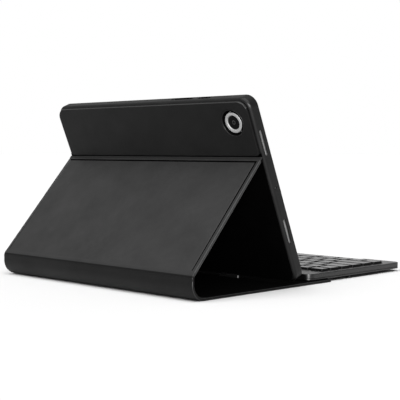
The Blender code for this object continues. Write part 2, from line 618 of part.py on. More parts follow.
def build_keyboard():
    """Keyboard: two housing shells, key layers, electronics and the pad that levels it."""
    frame = hinge_empty("keyboard_frame", (0, KEYBOARD_MIDDLE, KEYBOARD_BOTTOM))
    size = (KEYBOARD_WIDTH, KEYBOARD_DEPTH)
    split = LOWER_CASE_HEIGHT
    levels = [(split + GAP, 0)]
    levels += fillet_levels(KEYBOARD_THICKNESS, KEYBOARD_EDGE_FILLET, 2, top=True)
    upper = add_object("keyboard_upper_case", slab(*size, levels, KEYBOARD_CORNER_RADIUS, 5),
                       CASE_PLASTIC, frame)
    inner_width = KEYBOARD_WIDTH - 2 * CASE_WALL
    inner_depth = KEYBOARD_DEPTH - CASE_WALL - FRONT_BAR
    inner_middle = (0, (FRONT_BAR - CASE_WALL) / 2)
    inner_radius = KEYBOARD_CORNER_RADIUS - CASE_WALL
    cut(upper, "upper_case_room", slab(inner_width, inner_depth, [(0, 0), (DECK_UNDERSIDE, 0)],
                                       inner_radius, 5, inner_middle))
    lower_levels = fillet_levels(0, KEYBOARD_EDGE_FILLET, 2, top=False) + [(split, 0)]
    lower = add_object("keyboard_lower_case", slab(*size, lower_levels, KEYBOARD_CORNER_RADIUS, 5),
                       CASE_PLASTIC, frame)
    cut(lower, "lower_case_room", slab(inner_width, inner_depth,
                                       [(CASE_FLOOR, 0), (KEYBOARD_THICKNESS, 0)],
                                       inner_radius, 5, inner_middle))
    holes = bmesh.new()
    for node, x, y, width, depth in key_places():
        half = Vector((width / 2 + KEY_CLEARANCE, depth / 2 + KEY_CLEARANCE, KEYBOARD_THICKNESS))
        middle = Matrix.Translation((x, y, WEB_TOP + KEYBOARD_THICKNESS))
        bmesh.ops.create_cube(holes, size=2.0, matrix=middle @ Matrix.Diagonal((*half, 1)))
    cut(upper, "key_holes", holes)
    front = -KEYBOARD_DEPTH / 2
    cut(upper, "thumb_scoop",
        block((-THUMB_SCOOP_LENGTH / 2, front - THUMB_SCOOP_WIDTH,
               KEYBOARD_THICKNESS - THUMB_SCOOP_DEPTH),
              (THUMB_SCOOP_LENGTH / 2, front + THUMB_SCOOP_WIDTH, 2 * KEYBOARD_THICKNESS)))

    layer_front = front + FRONT_BAR + GAP
    layer_rear = KEYS_REAR + KEY_CLEARANCE + KEY_WEB_MARGIN
    add_object("support_plate", block((-SHEET_HALF_WIDTH, layer_front, LAYERS_BOTTOM),
                                      (SHEET_HALF_WIDTH, layer_rear,
                                       LAYERS_BOTTOM + SUPPORT_PLATE)), STEEL, frame)
    add_object("dome_sheet", block((-SHEET_HALF_WIDTH, layer_front, SHEET_BOTTOM),
                                   (SHEET_HALF_WIDTH, layer_rear, SHEET_BOTTOM + DOME_SHEET)),
               RUBBER, frame)
    bay_middle = (layer_rear + KEYBOARD_DEPTH / 2 - CASE_WALL) / 2
    board_right = KEYBOARD_WIDTH / 2 - USB_SOCKET_LENGTH - CASE_WALL
    board_left = board_right - CIRCUIT_BOARD_LENGTH
    add_object("circuit_board",
               block((board_left, bay_middle - CIRCUIT_BOARD_WIDTH / 2, LAYERS_BOTTOM),
                     (board_right, bay_middle + CIRCUIT_BOARD_WIDTH / 2,
                      LAYERS_BOTTOM + CIRCUIT_BOARD_THICKNESS)), CIRCUIT, frame)
    battery_right = board_left - BATTERY_FROM_BOARD
    battery_levels = [(LAYERS_BOTTOM, 0), (LAYERS_BOTTOM + BATTERY_THICKNESS, 0)]
    add_object("battery_cell",
               slab(BATTERY_LENGTH, BATTERY_WIDTH, battery_levels, 1.5 * MM, 2,
                    (battery_right - BATTERY_LENGTH / 2, bay_middle)), FOIL, frame)

    socket_y = bay_middle + BATTERY_WIDTH / 2 - USB_SOCKET_WIDTH / 2
    socket_low = LAYERS_BOTTOM + GAP / 2
    socket_middle = socket_low + USB_SOCKET_THICKNESS / 2
    side = KEYBOARD_WIDTH / 2
    socket = add_object("usb_socket", side_slot(side - USB_SOCKET_LENGTH, side - GAP, socket_y,
                                                socket_middle, USB_SOCKET_WIDTH,
                                                USB_SOCKET_THICKNESS), STEEL, frame)
    shell = 0.35 * MM
    cut(socket, "usb_mouth", side_slot(side - USB_SOCKET_LENGTH * 0.8, side + GAP, socket_y,
                                       socket_middle, USB_SOCKET_WIDTH - 2 * shell,
                                       USB_SOCKET_THICKNESS - 2 * shell))
    switch_y = socket_y - USB_SOCKET_WIDTH / 2 - SWITCH_FROM_SOCKET
    switch_middle = split + GAP / 2 + SWITCH_CAP_HEIGHT / 2 + GAP
    for shell_part, name in ((upper, "upper"), (lower, "lower")):
        cut(shell_part, name + "_usb_opening",
            side_slot(side - USB_SOCKET_LENGTH - GAP, side + CASE_WALL, socket_y, socket_middle,
                      USB_SOCKET_WIDTH + 2 * GAP, USB_SOCKET_THICKNESS + 2 * GAP))
    clear = 0.25 * MM
    cut(upper, "switch_slot",
        block((side - 2 * CASE_WALL,
               switch_y - SWITCH_CAP_LENGTH / 2 - SWITCH_TRAVEL - clear,
               switch_middle - SWITCH_CAP_HEIGHT / 2 - clear),
              (side + CASE_WALL, switch_y + SWITCH_CAP_LENGTH / 2 + clear,
               switch_middle + SWITCH_CAP_HEIGHT / 2 + clear)))
    depth_inside = CASE_WALL + 0.4 * MM
    switch = add_object("power_switch",
                        block((-depth_inside, -SWITCH_CAP_LENGTH / 2, -SWITCH_CAP_HEIGHT / 2),
                              (SWITCH_CAP_PROUD, SWITCH_CAP_LENGTH / 2, SWITCH_CAP_HEIGHT / 2)),
                        CASE_PLASTIC, frame)
    switch.location = (side, switch_y, switch_middle)
    lamp = Vector((board_right - INDICATOR_LENGTH, bay_middle, 0))
    half = Vector((INDICATOR_LENGTH / 2, INDICATOR_WIDTH / 2, 0))
    room = half + Vector((GAP, GAP, 0))
    cut(upper, "indicator_slot", block(lamp - room + Vector((0, 0, WEB_TOP)),
                                       lamp + room + Vector((0, 0, 2 * KEYBOARD_THICKNESS))))
    add_object("indicator_window",
               block(lamp - half + Vector((0, 0, DECK_UNDERSIDE)),
                     lamp + half + Vector((0, 0, KEYBOARD_THICKNESS - GAP / 2))), CLEAR, frame)

    pad_edge = 0.6 * MM
    pad_low = -KEYBOARD_BOTTOM
    pad_levels = [(pad_low, pad_edge), (pad_low + pad_edge, 0), (-GAP - pad_edge, 0),
                  (-GAP, pad_edge)]
    pad_middle = KEYBOARD_DEPTH / 2 - REST_PAD_FROM_REAR - REST_PAD_DEPTH / 2
    add_object("rest_pad", slab(KEYBOARD_WIDTH - 2 * REST_PAD_SIDE_MARGIN, REST_PAD_DEPTH,
                                pad_levels, 2.5 * MM, 3, (0, pad_middle)), LEATHER, frame)
    build_keys(frame)


def build_case():
    build_base()
    build_spine()
    build_flap()
    tray_frame = hinge_empty("fold_hinge", FOLD_PIVOT, TRAY_ANGLE)
    build_tray(tray_frame)
    build_tablet(tray_frame)
    build_keyboard()


build_case()
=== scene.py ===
"""Looks of a tablet keyboard case that stands as a wedge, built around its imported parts.

Metres, +Z up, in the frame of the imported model. The user sits on the -Y side and +X is the
user's right. Every panel is drawn in its own frame, as it lies when the case is opened flat:
X is the width, Y runs towards the top edge of the tray and Z points to the lined side.
"""
import json
import math

import bmesh
import bpy
from mathutils import Matrix, Vector


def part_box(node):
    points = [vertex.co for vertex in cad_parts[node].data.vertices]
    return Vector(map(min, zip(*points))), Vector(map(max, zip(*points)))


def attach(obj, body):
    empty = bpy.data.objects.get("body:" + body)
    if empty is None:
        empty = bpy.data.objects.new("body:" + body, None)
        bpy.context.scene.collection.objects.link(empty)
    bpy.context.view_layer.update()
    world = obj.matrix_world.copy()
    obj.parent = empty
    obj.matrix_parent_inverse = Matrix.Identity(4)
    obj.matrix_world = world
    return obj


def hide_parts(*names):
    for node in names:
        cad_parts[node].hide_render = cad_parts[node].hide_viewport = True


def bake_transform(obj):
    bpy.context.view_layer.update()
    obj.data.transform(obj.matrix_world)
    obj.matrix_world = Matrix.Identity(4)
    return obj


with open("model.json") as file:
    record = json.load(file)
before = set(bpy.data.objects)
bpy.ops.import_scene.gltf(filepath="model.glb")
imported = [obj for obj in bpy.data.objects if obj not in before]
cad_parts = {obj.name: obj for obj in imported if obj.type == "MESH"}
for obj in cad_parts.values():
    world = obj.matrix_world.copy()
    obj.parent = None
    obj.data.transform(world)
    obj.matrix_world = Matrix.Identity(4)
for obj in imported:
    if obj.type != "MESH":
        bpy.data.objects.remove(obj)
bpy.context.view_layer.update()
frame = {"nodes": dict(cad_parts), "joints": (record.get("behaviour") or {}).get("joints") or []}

MM = 0.001
GAP = 0.3 * MM

# ---- places -------------------------------------------------------------------------------
JOINTS = {joint["name"]: joint for joint in frame["joints"]}


def pivot(name):
    return Vector(JOINTS[name]["pos_m"])


def turned(point, angle):
    return Matrix.Translation(point) @ Matrix.Rotation(angle, 4, "X")


FLAP_PIVOT = pivot("flap_fold")
FOLD_PIVOT = pivot("tray_fold")
SCREEN_NORMAL = Vector(JOINTS["lift_out_tablet"]["axis"]).normalized()
TRAY_ANGLE = math.atan2(-SCREEN_NORMAL.y, SCREEN_NORMAL.z)
FLAP_LINE = FOLD_PIVOT - FLAP_PIVOT
FLAP_ANGLE = math.atan2(FLAP_LINE.z, FLAP_LINE.y)
TRAY_PLACE = turned(FOLD_PIVOT, TRAY_ANGLE)
FLAP_PLACE = turned(FLAP_PIVOT, FLAP_ANGLE)


def local_box(node, place):
    """Lowest and highest corner of a CAD node, measured in a panel's own frame."""
    back = place.inverted()
    points = [back @ vertex.co for vertex in frame["nodes"][node].data.vertices]
    return (Vector([min(point[axis] for point in points) for axis in range(3)]),
            Vector([max(point[axis] for point in points) for axis in range(3)]))


def extent(low, high):
    """Size and middle of a box in X and Y."""
    return (high.x - low.x, high.y - low.y), ((low.x + high.x) / 2, (low.y + high.y) / 2)


BASE_LOW, BASE_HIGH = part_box("base_cover")
PANEL = BASE_HIGH.z - BASE_LOW.z
HALF_PANEL = PANEL / 2
BASE_PLACE = Matrix.Translation((0, 0, HALF_PANEL))
CASE_LOW, CASE_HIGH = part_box("keyboard_lower_case")
KEYBOARD_PLACE = Matrix.Translation((0, (CASE_LOW.y + CASE_HIGH.y) / 2, CASE_LOW.z))


# ---- finishes -----------------------------------------------------------------------------
class Finish:
    """A Principled material whose colour, roughness and relief come from procedural nodes."""

    def __init__(self, name, **constants):
        self.material = bpy.data.materials.new(name)
        self.material.use_nodes = True
        self.tree = self.material.node_tree
        self.shader = self.tree.nodes["Principled BSDF"]
        self.place = self.new("ShaderNodeTexCoord").outputs["Object"]
        self.relief = None
        for socket, value in constants.items():
            self.shader.inputs[socket.replace("_", " ")].default_value = value

    def new(self, kind):
        return self.tree.nodes.new(kind)

    def link(self, source, target):
        self.tree.links.new(source, target)

    def stretched(self, scale):
        mapping = self.new("ShaderNodeMapping")
        mapping.inputs["Scale"].default_value = scale
        self.link(self.place, mapping.inputs["Vector"])
        return mapping.outputs["Vector"]

    def noise(self, size, detail=3.0, roughness=0.5, stretch=None):
        """Cloudy pattern whose features are about `size` metres across."""
        node = self.new("ShaderNodeTexNoise")
        node.inputs["Scale"].default_value = 1 / size
        node.inputs["Detail"].default_value = detail
        node.inputs["Roughness"].default_value = roughness
        self.link(self.stretched(stretch) if stretch else self.place, node.inputs["Vector"])
        return node.outputs["Fac"]

    def cells(self, size, smooth=0.6):
        """Pebbled pattern of cells about `size` metres across."""
        node = self.new("ShaderNodeTexVoronoi")
        node.feature = "SMOOTH_F1"
        node.inputs["Scale"].default_value = 1 / size
        node.inputs["Smoothness"].default_value = smooth
        self.link(self.place, node.inputs["Vector"])
        return node.outputs["Distance"]

    def spread(self, source, low, high, start=0.3, end=0.7):
        node = self.new("ShaderNodeMapRange")
        self.link(source, node.inputs["Value"])
        for socket, value in (("From Min", start), ("From Max", end), ("To Min", low),
                              ("To Max", high)):
            node.inputs[socket].default_value = value
        return node.outputs["Result"]

    def product(self, first, second):
        node = self.new("ShaderNodeMath")
        node.operation = "MULTIPLY"
        self.link(first, node.inputs[0])
        self.link(second, node.inputs[1])
        return node.outputs[0]

    def colours(self, source, dark, light):
        node = self.new("ShaderNodeMix")
        node.data_type = "RGBA"
        self.link(source, node.inputs["Factor"])
        node.inputs["A"].default_value = (*dark, 1)
        node.inputs["B"].default_value = (*light, 1)
        for output in node.outputs:
            if output.type == "RGBA":
                self.link(output, self.shader.inputs["Base Color"])

    def roughness(self, source, low, high):
        self.link(self.spread(source, low, high), self.shader.inputs["Roughness"])

    def bump(self, source, depth, strength=1.0):
        """Relief `depth` metres deep, on top of any earlier relief."""
        node = self.new("ShaderNodeBump")
        node.inputs["Strength"].default_value = strength
        node.inputs["Distance"].default_value = depth
        self.link(source, node.inputs["Height"])
        if self.relief is not None:
            self.link(self.relief, node.inputs["Normal"])
        self.relief = node.outputs["Normal"]
        self.link(self.relief, self.shader.inputs["Normal"])


def grey(level, warmth=0.0):
    return (level * (1 + warmth), level, level * (1 - warmth))


def leather(name, dark, light, rough, specular, grain_depth):
    """Smooth synthetic leather: fine pebbled grain, faint clouding and a soft gloss."""
    finish = Finish(name, Specular_IOR_Level=specular)
    cloud = finish.noise(38 * MM, 5.0, 0.62)
    mottle = finish.noise(4.5 * MM, 3.0)
    finish.colours(finish.product(finish.spread(cloud, 0.15, 1.0, 0.32, 0.68),
                                  finish.spread(mottle, 0.7, 1.0)), grey(dark), grey(light))
    finish.roughness(cloud, rough + 0.05, rough - 0.05)
    finish.bump(finish.cells(0.85 * MM), grain_depth)
    finish.bump(finish.noise(0.35 * MM, 2.0), grain_depth * 0.5)
    return finish.material


def soft_plastic(name, dark, light, rough, grain, depth, specular=0.5):
    """Moulded plastic with a fine spark-eroded texture and slight handling marks."""
    finish = Finish(name, Specular_IOR_Level=specular)
    wear = finish.noise(22 * MM, 5.0, 0.6)
    finish.colours(finish.spread(wear, 0.0, 1.0), grey(dark), grey(light))
    finish.roughness(wear, rough - 0.04, rough + 0.05)
    finish.bump(finish.noise(grain, 2.0, 0.6), depth)
    return finish.material


def metal(name, dark, light, rough, stretch=(1, 1, 1), grain=0.5 * MM, depth=0.004 * MM):
    finish = Finish(name, Metallic=1.0)
    streak = finish.noise(grain, 3.0, 0.6, stretch)
    haze = finish.noise(12 * MM, 4.0)
    finish.colours(finish.spread(streak, 0.0, 1.0), grey(dark), grey(light))
    finish.roughness(haze, rough - 0.04, rough + 0.06)
    finish.bump(streak, depth)
    return finish.material


def glass(name, dark, light, rough=0.04, coat=0.6, specular=0.5):
    finish = Finish(name, Coat_Weight=coat, Coat_Roughness=0.03, Specular_IOR_Level=specular)
    smear = finish.noise(30 * MM, 5.0, 0.65)
    finish.colours(finish.spread(smear, 0.0, 1.0), dark, light)
    finish.roughness(smear, rough, rough + 0.05)
    return finish.material


def microfibre(name, dark, light):
    finish = Finish(name, Specular_IOR_Level=0.01, Sheen_Weight=0.004, Sheen_Roughness=0.5)
    nap = finish.noise(6 * MM, 4.0, 0.6)
    fibre = finish.noise(0.4 * MM, 4.0, 0.7)
    finish.colours(finish.product(finish.spread(nap, 0.5, 1.0), finish.spread(fibre, 0.4, 1.0)),
                   grey(dark), grey(light))
    finish.roughness(nap, 0.9, 0.98)
    finish.bump(fibre, 0.08 * MM)
    return finish.material


def card(name):
    finish = Finish(name, Specular_IOR_Level=0.2)
    fibre = finish.noise(1.2 * MM, 5.0, 0.7, (1, 4, 1))
    finish.colours(finish.spread(fibre, 0.0, 1.0), grey(0.02), grey(0.04))
    finish.roughness(fibre, 0.85, 0.95)
    finish.bump(fibre, 0.05 * MM)
    return finish.material


def circuit(name):
    finish = Finish(name, Coat_Weight=0.3)
    tracks = finish.noise(1.5 * MM, 1.0, 0.5, (1, 6, 1))
    finish.colours(finish.spread(tracks, 0.0, 1.0, 0.48, 0.52), (0.01, 0.06, 0.025),
                   (0.03, 0.16, 0.07))
    finish.roughness(tracks, 0.35, 0.5)
    finish.bump(tracks, 0.03 * MM)
    return finish.material


def foil(name):
    finish = Finish(name, Metallic=0.7)
    crease = finish.noise(5 * MM, 6.0, 0.7)
    finish.colours(finish.spread(crease, 0.0, 1.0), grey(0.3), grey(0.55))
    finish.roughness(crease, 0.3, 0.5)
    finish.bump(crease, 0.15 * MM)
    return finish.material


# The flap's copy of the cover leather is painted lighter than the panels' copy: painted light on the
# flap's upward face.
FLAP_LEATHER_LIT = leather("flap_grain_painted_light", 0.0095, 0.026, 0.44, 0.34, 0.035 * MM)
PANEL_LEATHER = leather("panel_grain", 0.004, 0.007, 0.5, 0.12, 0.035 * MM)
SPINE_LEATHER = leather("spine_grain", 0.0045, 0.008, 0.46, 0.12, 0.02 * MM)
# Lighter, glossier leather for edge roundings: a painted highlight along the edges.
PAINTED_HIGHLIGHT_LEATHER = leather("edge_band_painted_highlight", 0.016, 0.024, 0.34, 0.5, 0.012 * MM)
STRIP_LEATHER = leather("fold_strip", 0.008, 0.013, 0.42, 0.3, 0.012 * MM)
# Near-black leather for the pressed groove and the fold's web: painted shade in the groove.
GROOVE_SHADE_LEATHER = leather("pressed_groove_painted_shade", 0.0003, 0.0008, 0.9, 0.0, 0.01 * MM)
LINING = microfibre("lining_nap", 0.0003, 0.0012)
TPU = soft_plastic("tray_tpu", 0.0045, 0.0075, 0.4, 0.4 * MM, 0.02 * MM, 0.24)
# Darker TPU for the tray's back face and the camera funnel's inner wall: painted shade.
TRAY_BACK_SHADE = soft_plastic("tray_back_painted_shade", 0.0006, 0.0012, 0.7, 0.4 * MM, 0.02 * MM, 0.02)
# Darker plastic for the key bed between the keys: painted shade.
KEY_BED_SHADE = soft_plastic("key_bed", 0.0004, 0.0008, 0.8, 0.3 * MM, 0.006 * MM, 0.0)
CASE_PLASTIC = soft_plastic("case_abs", 0.004, 0.006, 0.3, 0.3 * MM, 0.004 * MM, 0.5)
KEY_PLASTIC = soft_plastic("key_abs", 0.022, 0.03, 0.2, 0.25 * MM, 0.003 * MM, 0.6)
# Darker plastic for the keycaps' sides: painted shade beside the lighter tops.
KEY_SIDE_SHADE = soft_plastic("key_side_painted_shade", 0.0025, 0.004, 0.5, 0.3 * MM, 0.006 * MM, 0.12)
ALUMINIUM = metal("tablet_alu", 0.76, 0.86, 0.42)
# Dark plastic for the camera ring's outer wall: painted shade.
RING_WALL_SHADE = soft_plastic("ring_wall_painted_shade", 0.001, 0.003, 0.8, 0.4 * MM, 0.01 * MM, 0.1)
RING_METAL = metal("ring_alu", 0.38, 0.44, 0.6, depth=0.002 * MM)
STEEL = metal("plate_steel_brushed", 0.4, 0.55, 0.32, (1, 12, 1))
BEZEL = glass("bezel_glass", grey(0.002), grey(0.004))
DISPLAY = glass("display_off", (0.004, 0.004, 0.006), (0.007, 0.007, 0.01))
LENS = glass("lens_cover", grey(0.0005), grey(0.001), 0.12, 0.0, 0.05)
# Dark metal for the front camera's trim ring, and for a thin ring in the rear lens that is a painted
# highlight.
LENS_RING_AND_HIGHLIGHT = metal("lens_ring_and_painted_highlight", 0.05, 0.09, 0.4)
BOARD = card("board_fibre")
RUBBER = soft_plastic("dome_silicone", 0.03, 0.045, 0.7, 0.6 * MM, 0.03 * MM, 0.3)
CIRCUIT = circuit("circuit_tracks")
FOIL = foil("battery_wrap")
LAMP = soft_plastic("lamp_plastic", 0.35, 0.5, 0.25, 0.5 * MM, 0.004 * MM)


# ---- modelling helpers --------------------------------------------------------------------
def outline(size_x, size_y, far_radius, near_radius=None, steps=8):
    """Corner-rounded rectangle about the origin, counter-clockwise."""
    near_radius = far_radius if near_radius is None else near_radius
    points = []
    for corner, (sign_x, sign_y) in enumerate([(1, 1), (-1, 1), (-1, -1), (1, -1)]):
        radius = far_radius if sign_y > 0 else near_radius
        centre = (sign_x * (size_x / 2 - radius), sign_y * (size_y / 2 - radius))
        for step in range(steps + 1):
            turn = math.pi / 2 * (corner + step / steps)
            points.append((centre[0] + radius * math.cos(turn),
                           centre[1] + radius * math.sin(turn)))
    return points


def loft(rings, bands=None, into=None):
    """Closed solid through equal rings of points; bands gives the faces' material numbers."""
    shape = into or bmesh.new()
    made = [[shape.verts.new(point) for point in ring] for ring in rings]
    for number, (lower, upper) in enumerate(zip(made, made[1:])):
        for place in range(len(lower)):
            after = (place + 1) % len(lower)
            face = shape.faces.new((lower[place], lower[after], upper[after], upper[place]))
            face.material_index = bands[number + 1] if bands else 0
    first = shape.faces.new(list(reversed(made[0])))
    last = shape.faces.new(made[-1])
    if bands:
        first.material_index = bands[0]
        last.material_index = bands[-1]
    return shape


def slab(size, levels, radius, centre=(0, 0), near_radius=None, steps=8, bands=None,
         mask=None, into=None):
    """Rounded slab through levels of (z, inset) or (z, inset, pressed depth, far inset)."""
    near_radius = radius if near_radius is None else near_radius
    rings = []
    for level in levels:
        height, inset = level[:2]
        pressed, far_inset = level[2:] or (0.0, inset)
        shift = (inset - far_inset) / 2
        far, near = (max(corner - inset, min(corner, 0.25 * MM)) for corner in
                     (radius, near_radius))
        ring = []
        for x, y in outline(size[0] - 2 * inset, size[1] - inset - far_inset, far, near, steps):
            y += shift
            depth = pressed * (mask(y) if mask and pressed else 1.0)
            ring.append((x + centre[0], y + centre[1], height + depth))
        rings.append(ring)
    return loft(rings, bands, into)


def rounded(height, radius, steps, top):
    """Levels that round one edge of a slab, at its bottom or its top."""
    levels = []
    for step in range(steps + 1):
        turn = math.pi / 2 * step / steps
        inset = radius * (1 - math.sin(turn))
        rise = radius * (1 - math.cos(turn))
        levels.append((height - rise, inset) if top else (height + rise, inset))
    return list(reversed(levels)) if top else levels


def turned_solid(profile, centre, steps=64, bands=None, into=None):
    """Solid turned on a local Z axis through (radius, z) points."""
    rings = []
    for radius, height in profile:
        rings.append([(centre[0] + radius * math.cos(math.tau * step / steps),
                       centre[1] + radius * math.sin(math.tau * step / steps), height)
                      for step in range(steps)])
    return loft(rings, bands, into)


def ring_solid(profile, centre, steps=96):
    """Ring turned on a local Z axis from a closed (radius, z) profile."""
    shape = bmesh.new()
    made = []
    for step in range(steps):
        turn = math.tau * step / steps
        made.append([shape.verts.new((centre[0] + radius * math.cos(turn),
                                      centre[1] + radius * math.sin(turn), height))
                     for radius, height in profile])
    for step in range(steps):
        here, there = made[step], made[(step + 1) % steps]
        for place in range(len(profile)):
            after = (place + 1) % len(profile)
            shape.faces.new((here[place], here[after], there[after], there[place]))
    return shape


def ribbon(path, width, outer, inner, edge, bands=None, into=None, end=0.0):
    """Solid strip along a path of (y, z, direction), between two offsets from the path."""
    rings = []
    last = len(path) - 1
    for number, (y, z, direction) in enumerate(path):
        inset = end if number in (0, last) else 0.0
        normal = Vector((0, -math.sin(direction), math.cos(direction)))
        ring = []
        thick = inner - outer - 2 * inset
        for x, offset in outline(width - 2 * inset, thick, min(edge, thick * 0.45), None, 4):
            ring.append(Vector((x, y, z)) + normal * (offset + (outer + inner) / 2))
        rings.append(ring)
    return loft(rings, bands, into)


def object_of(name, shape, place=None):
    bmesh.ops.recalc_face_normals(shape, faces=shape.faces)
    mesh = bpy.data.meshes.new(name)
    shape.to_mesh(mesh)
    shape.free()
    made = bpy.data.objects.new(name, mesh)
    bpy.context.scene.collection.objects.link(made)
    if place is not None:
        made.matrix_world = place
    return made


def carve(piece, *tools):
    """Cuts the tools out of a piece and keeps the result as its mesh."""
    for tool in tools:
        change = piece.modifiers.new(tool.name, "BOOLEAN")
        change.object = tool
        change.operation = "DIFFERENCE"
        change.solver = "EXACT"
    bpy.context.view_layer.update()
    graph = bpy.context.evaluated_depsgraph_get()
    result = bpy.data.meshes.new_from_object(piece.evaluated_get(graph))
    piece.modifiers.clear()
    piece.data = result
    for tool in tools:
        bpy.data.objects.remove(tool)


def dress(piece, finishes, body=None, nodes=(), slot=None, sharp=38):
    """Gives a piece its finishes and shading, and lets it ride on a body."""
    for finish in finishes:
        piece.data.materials.append(finish)
    piece.data.shade_smooth()
    piece.data.set_sharp_from_angle(angle=math.radians(sharp))
    weighted = piece.modifiers.new("weighted_normals", "WEIGHTED_NORMAL")
    weighted.keep_sharp = True
    weighted.weight = 90
    if body:
        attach(piece, body)
    if nodes:
        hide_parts(*nodes)
    return piece


def refinish(piece, place, choose):
    """Changes the finish number of faces, judged by centre and normal in the given frame."""
    back = place.inverted() @ piece.matrix_world
    turn = back.to_3x3()
    for face in piece.data.polygons:
        face.material_index = choose(back @ face.center, turn @ face.normal,
                                     face.material_index)


def piece(name, shape, place, finishes, body, nodes=(), slot=None, sharp=38):
    return dress(object_of(name, shape, place), finishes, body, nodes, slot, sharp)


# ---- cover panels -------------------------------------------------------------------------
SKIN = 0.5 * MM
SKIN_WALL = 0.6 * MM
INNER_EDGE = 0.45 * MM
GROOVE_INSET = 3.6 * MM
GROOVE_FAR_INSET = 3.3 * MM
GROOVE_HALF_WIDTH = 0.8 * MM
GROOVE_DEPTH = 0.45 * MM
PANEL_EDGE = 0.5 * MM
PAD_EDGE = 0.8 * MM
STOP_EDGE = 0.7 * MM
STOP_CORNER = 1.6 * MM
# On the panels, BAND faces take the lighter leather painted as an edge highlight and GROOVE faces the
# near-black leather painted as shade.
GRAIN, BAND, GROOVE = 0, 1, 2


def panel_levels(grooved, outer_edge):
    """Levels of a leather panel from its outer face round the edge into the board pocket."""
    low, high = -HALF_PANEL, HALF_PANEL
    if grooved:
        half = GROOVE_HALF_WIDTH
        levels = []
        for share, depth in ((3, 0), (1, 0), (0.6, 0.8), (0.2, 1.0), (-0.2, 1.0), (-0.6, 0.8),
                             (-1, 0)):
            levels.append((low, GROOVE_INSET + share * half, depth * GROOVE_DEPTH,
                           GROOVE_FAR_INSET + share * half))
        bands = [GRAIN, GRAIN] + [GROOVE] * 5
    else:
        levels = [(low, 4 * outer_edge)]
        bands = [GRAIN]
    # The edge roundings and the pocket walls take the band leather: a painted highlight along the edge.
    round_edge = rounded(low, outer_edge, 6, top=False)
    round_edge += rounded(high, INNER_EDGE, 4, top=True)
    for height, inset in round_edge + [(high, SKIN_WALL), (low + SKIN, SKIN_WALL)]:
        levels.append((height, inset))
        bands.append(BAND)
    if not grooved:
        bands[1] = GRAIN
    return levels, bands + [BAND]


def leather_panel(name, node, place, body, finishes, radius, near_radius, grooved=False,
                  mask=None, cutters=(), slot="cover_leather", outer_edge=0.8 * MM):
    size, centre = extent(*local_box(node, place))
    levels, bands = panel_levels(grooved, outer_edge)
    shape = slab(size, levels, radius, centre, near_radius, 8, bands, mask)
    made = object_of(name, shape, place)
    if cutters:
        carve(made, *cutters)
    return dress(made, finishes, body, (node,), slot)


def lining_sheet(name, node, place, body, radius):
    """Microfibre sheet that fills the panel's pocket up to its turned edge."""
    low, high = local_box(node, place)
    spare = 0.22 * MM
    size = (high.x - low.x + 2 * spare, high.y - low.y + 2 * spare)
    centre = (0, (low.y + high.y) / 2)
    levels = [(low.z, 0)] + rounded(high.z - 0.03 * MM, 0.12 * MM, 3, top=True)
    return piece(name, slab(size, levels, radius, centre), place, [LINING], body, (node,),
                 "microfibre_lining")


def build_base():
    base = leather_panel("base_leather", "base_cover", BASE_PLACE, "base",
                         [PANEL_LEATHER, PAINTED_HIGHLIGHT_LEATHER], 1.0 * MM, 4.0 * MM,
                         outer_edge=PANEL_EDGE)
    # Only the base's edge roundings keep the lighter leather, a painted highlight; its upright sides
    # take the grain.
    refinish(base, BASE_PLACE, lambda spot, normal, number:
             GRAIN if abs(normal.z) < 0.2 else number)
    lining_sheet("base_microfibre", "base_lining", BASE_PLACE, "base", 3.0 * MM)


def build_flap():
    low, high = local_box("flap_cover", FLAP_PLACE)

    def mask(y):
        """The pressed groove fades out towards the spine."""
        share = (y + (high.y - low.y) / 2 - 4 * MM) / (2 * MM)
        share = min(max(share, 0), 1)
        return share * share * (3 - 2 * share)

    def flap_finish(spot, normal, number):
        from_side = high.x - abs(spot.x)
        from_end = high.y - spot.y
        if spot.y < low.y + 5 * MM and from_side > 1.5 * MM:
            return GRAIN
        # Flat band faces take the grain, so the lighter leather stays only on the rounded edge as a
        # painted highlight.
        if number == BAND and abs(normal.z) > 0.85:
            return GRAIN
        # Along the sides the groove's outer part takes the lighter band leather; the rest of the groove
        # keeps its painted shade.
        if number == GROOVE and from_end > GROOVE_FAR_INSET + 2 * GROOVE_HALF_WIDTH:
            return GROOVE if from_side > GROOVE_INSET - 0.3 * GROOVE_HALF_WIDTH else BAND
        return number

    flap = leather_panel("flap_leather", "flap_cover", FLAP_PLACE, "flap",
                         [FLAP_LEATHER_LIT, PAINTED_HIGHLIGHT_LEATHER, GROOVE_SHADE_LEATHER], 2.5 * MM, 0.6 * MM,
                         grooved=True, mask=mask)
    refinish(flap, FLAP_PLACE, flap_finish)
    lining_sheet("flap_microfibre", "flap_lining", FLAP_PLACE, "flap", 1.6 * MM)


def build_stops():
    for side in ("left", "right"):
        node = "tray_stop_" + side
        low, high = local_box(node, BASE_PLACE)
        size, centre = extent(low, high)
        levels = [(low.z, 0), (high.z - STOP_EDGE, 0)]
        levels += rounded(high.z, STOP_EDGE, 5, top=True)[1:]
        # Each stop is wholly in the lighter band leather, which paints a highlight on it.
        piece("stop_leather_" + side, slab(size, levels, STOP_CORNER, centre), BASE_PLACE,
              [PAINTED_HIGHLIGHT_LEATHER], "base", (node,), "cover_leather")


def build_rest_pad():
    low, high = local_box("rest_pad", KEYBOARD_PLACE)
    size, centre = extent(low, high)
    levels = rounded(low.z, 0.5 * MM, 4, top=False) + rounded(high.z, PAD_EDGE, 5, top=True)
    piece("rest_pad_leather", slab(size, levels, 2.5 * MM, centre), KEYBOARD_PLACE,
          [PANEL_LEATHER], "keyboard", ("rest_pad",), "cover_leather")


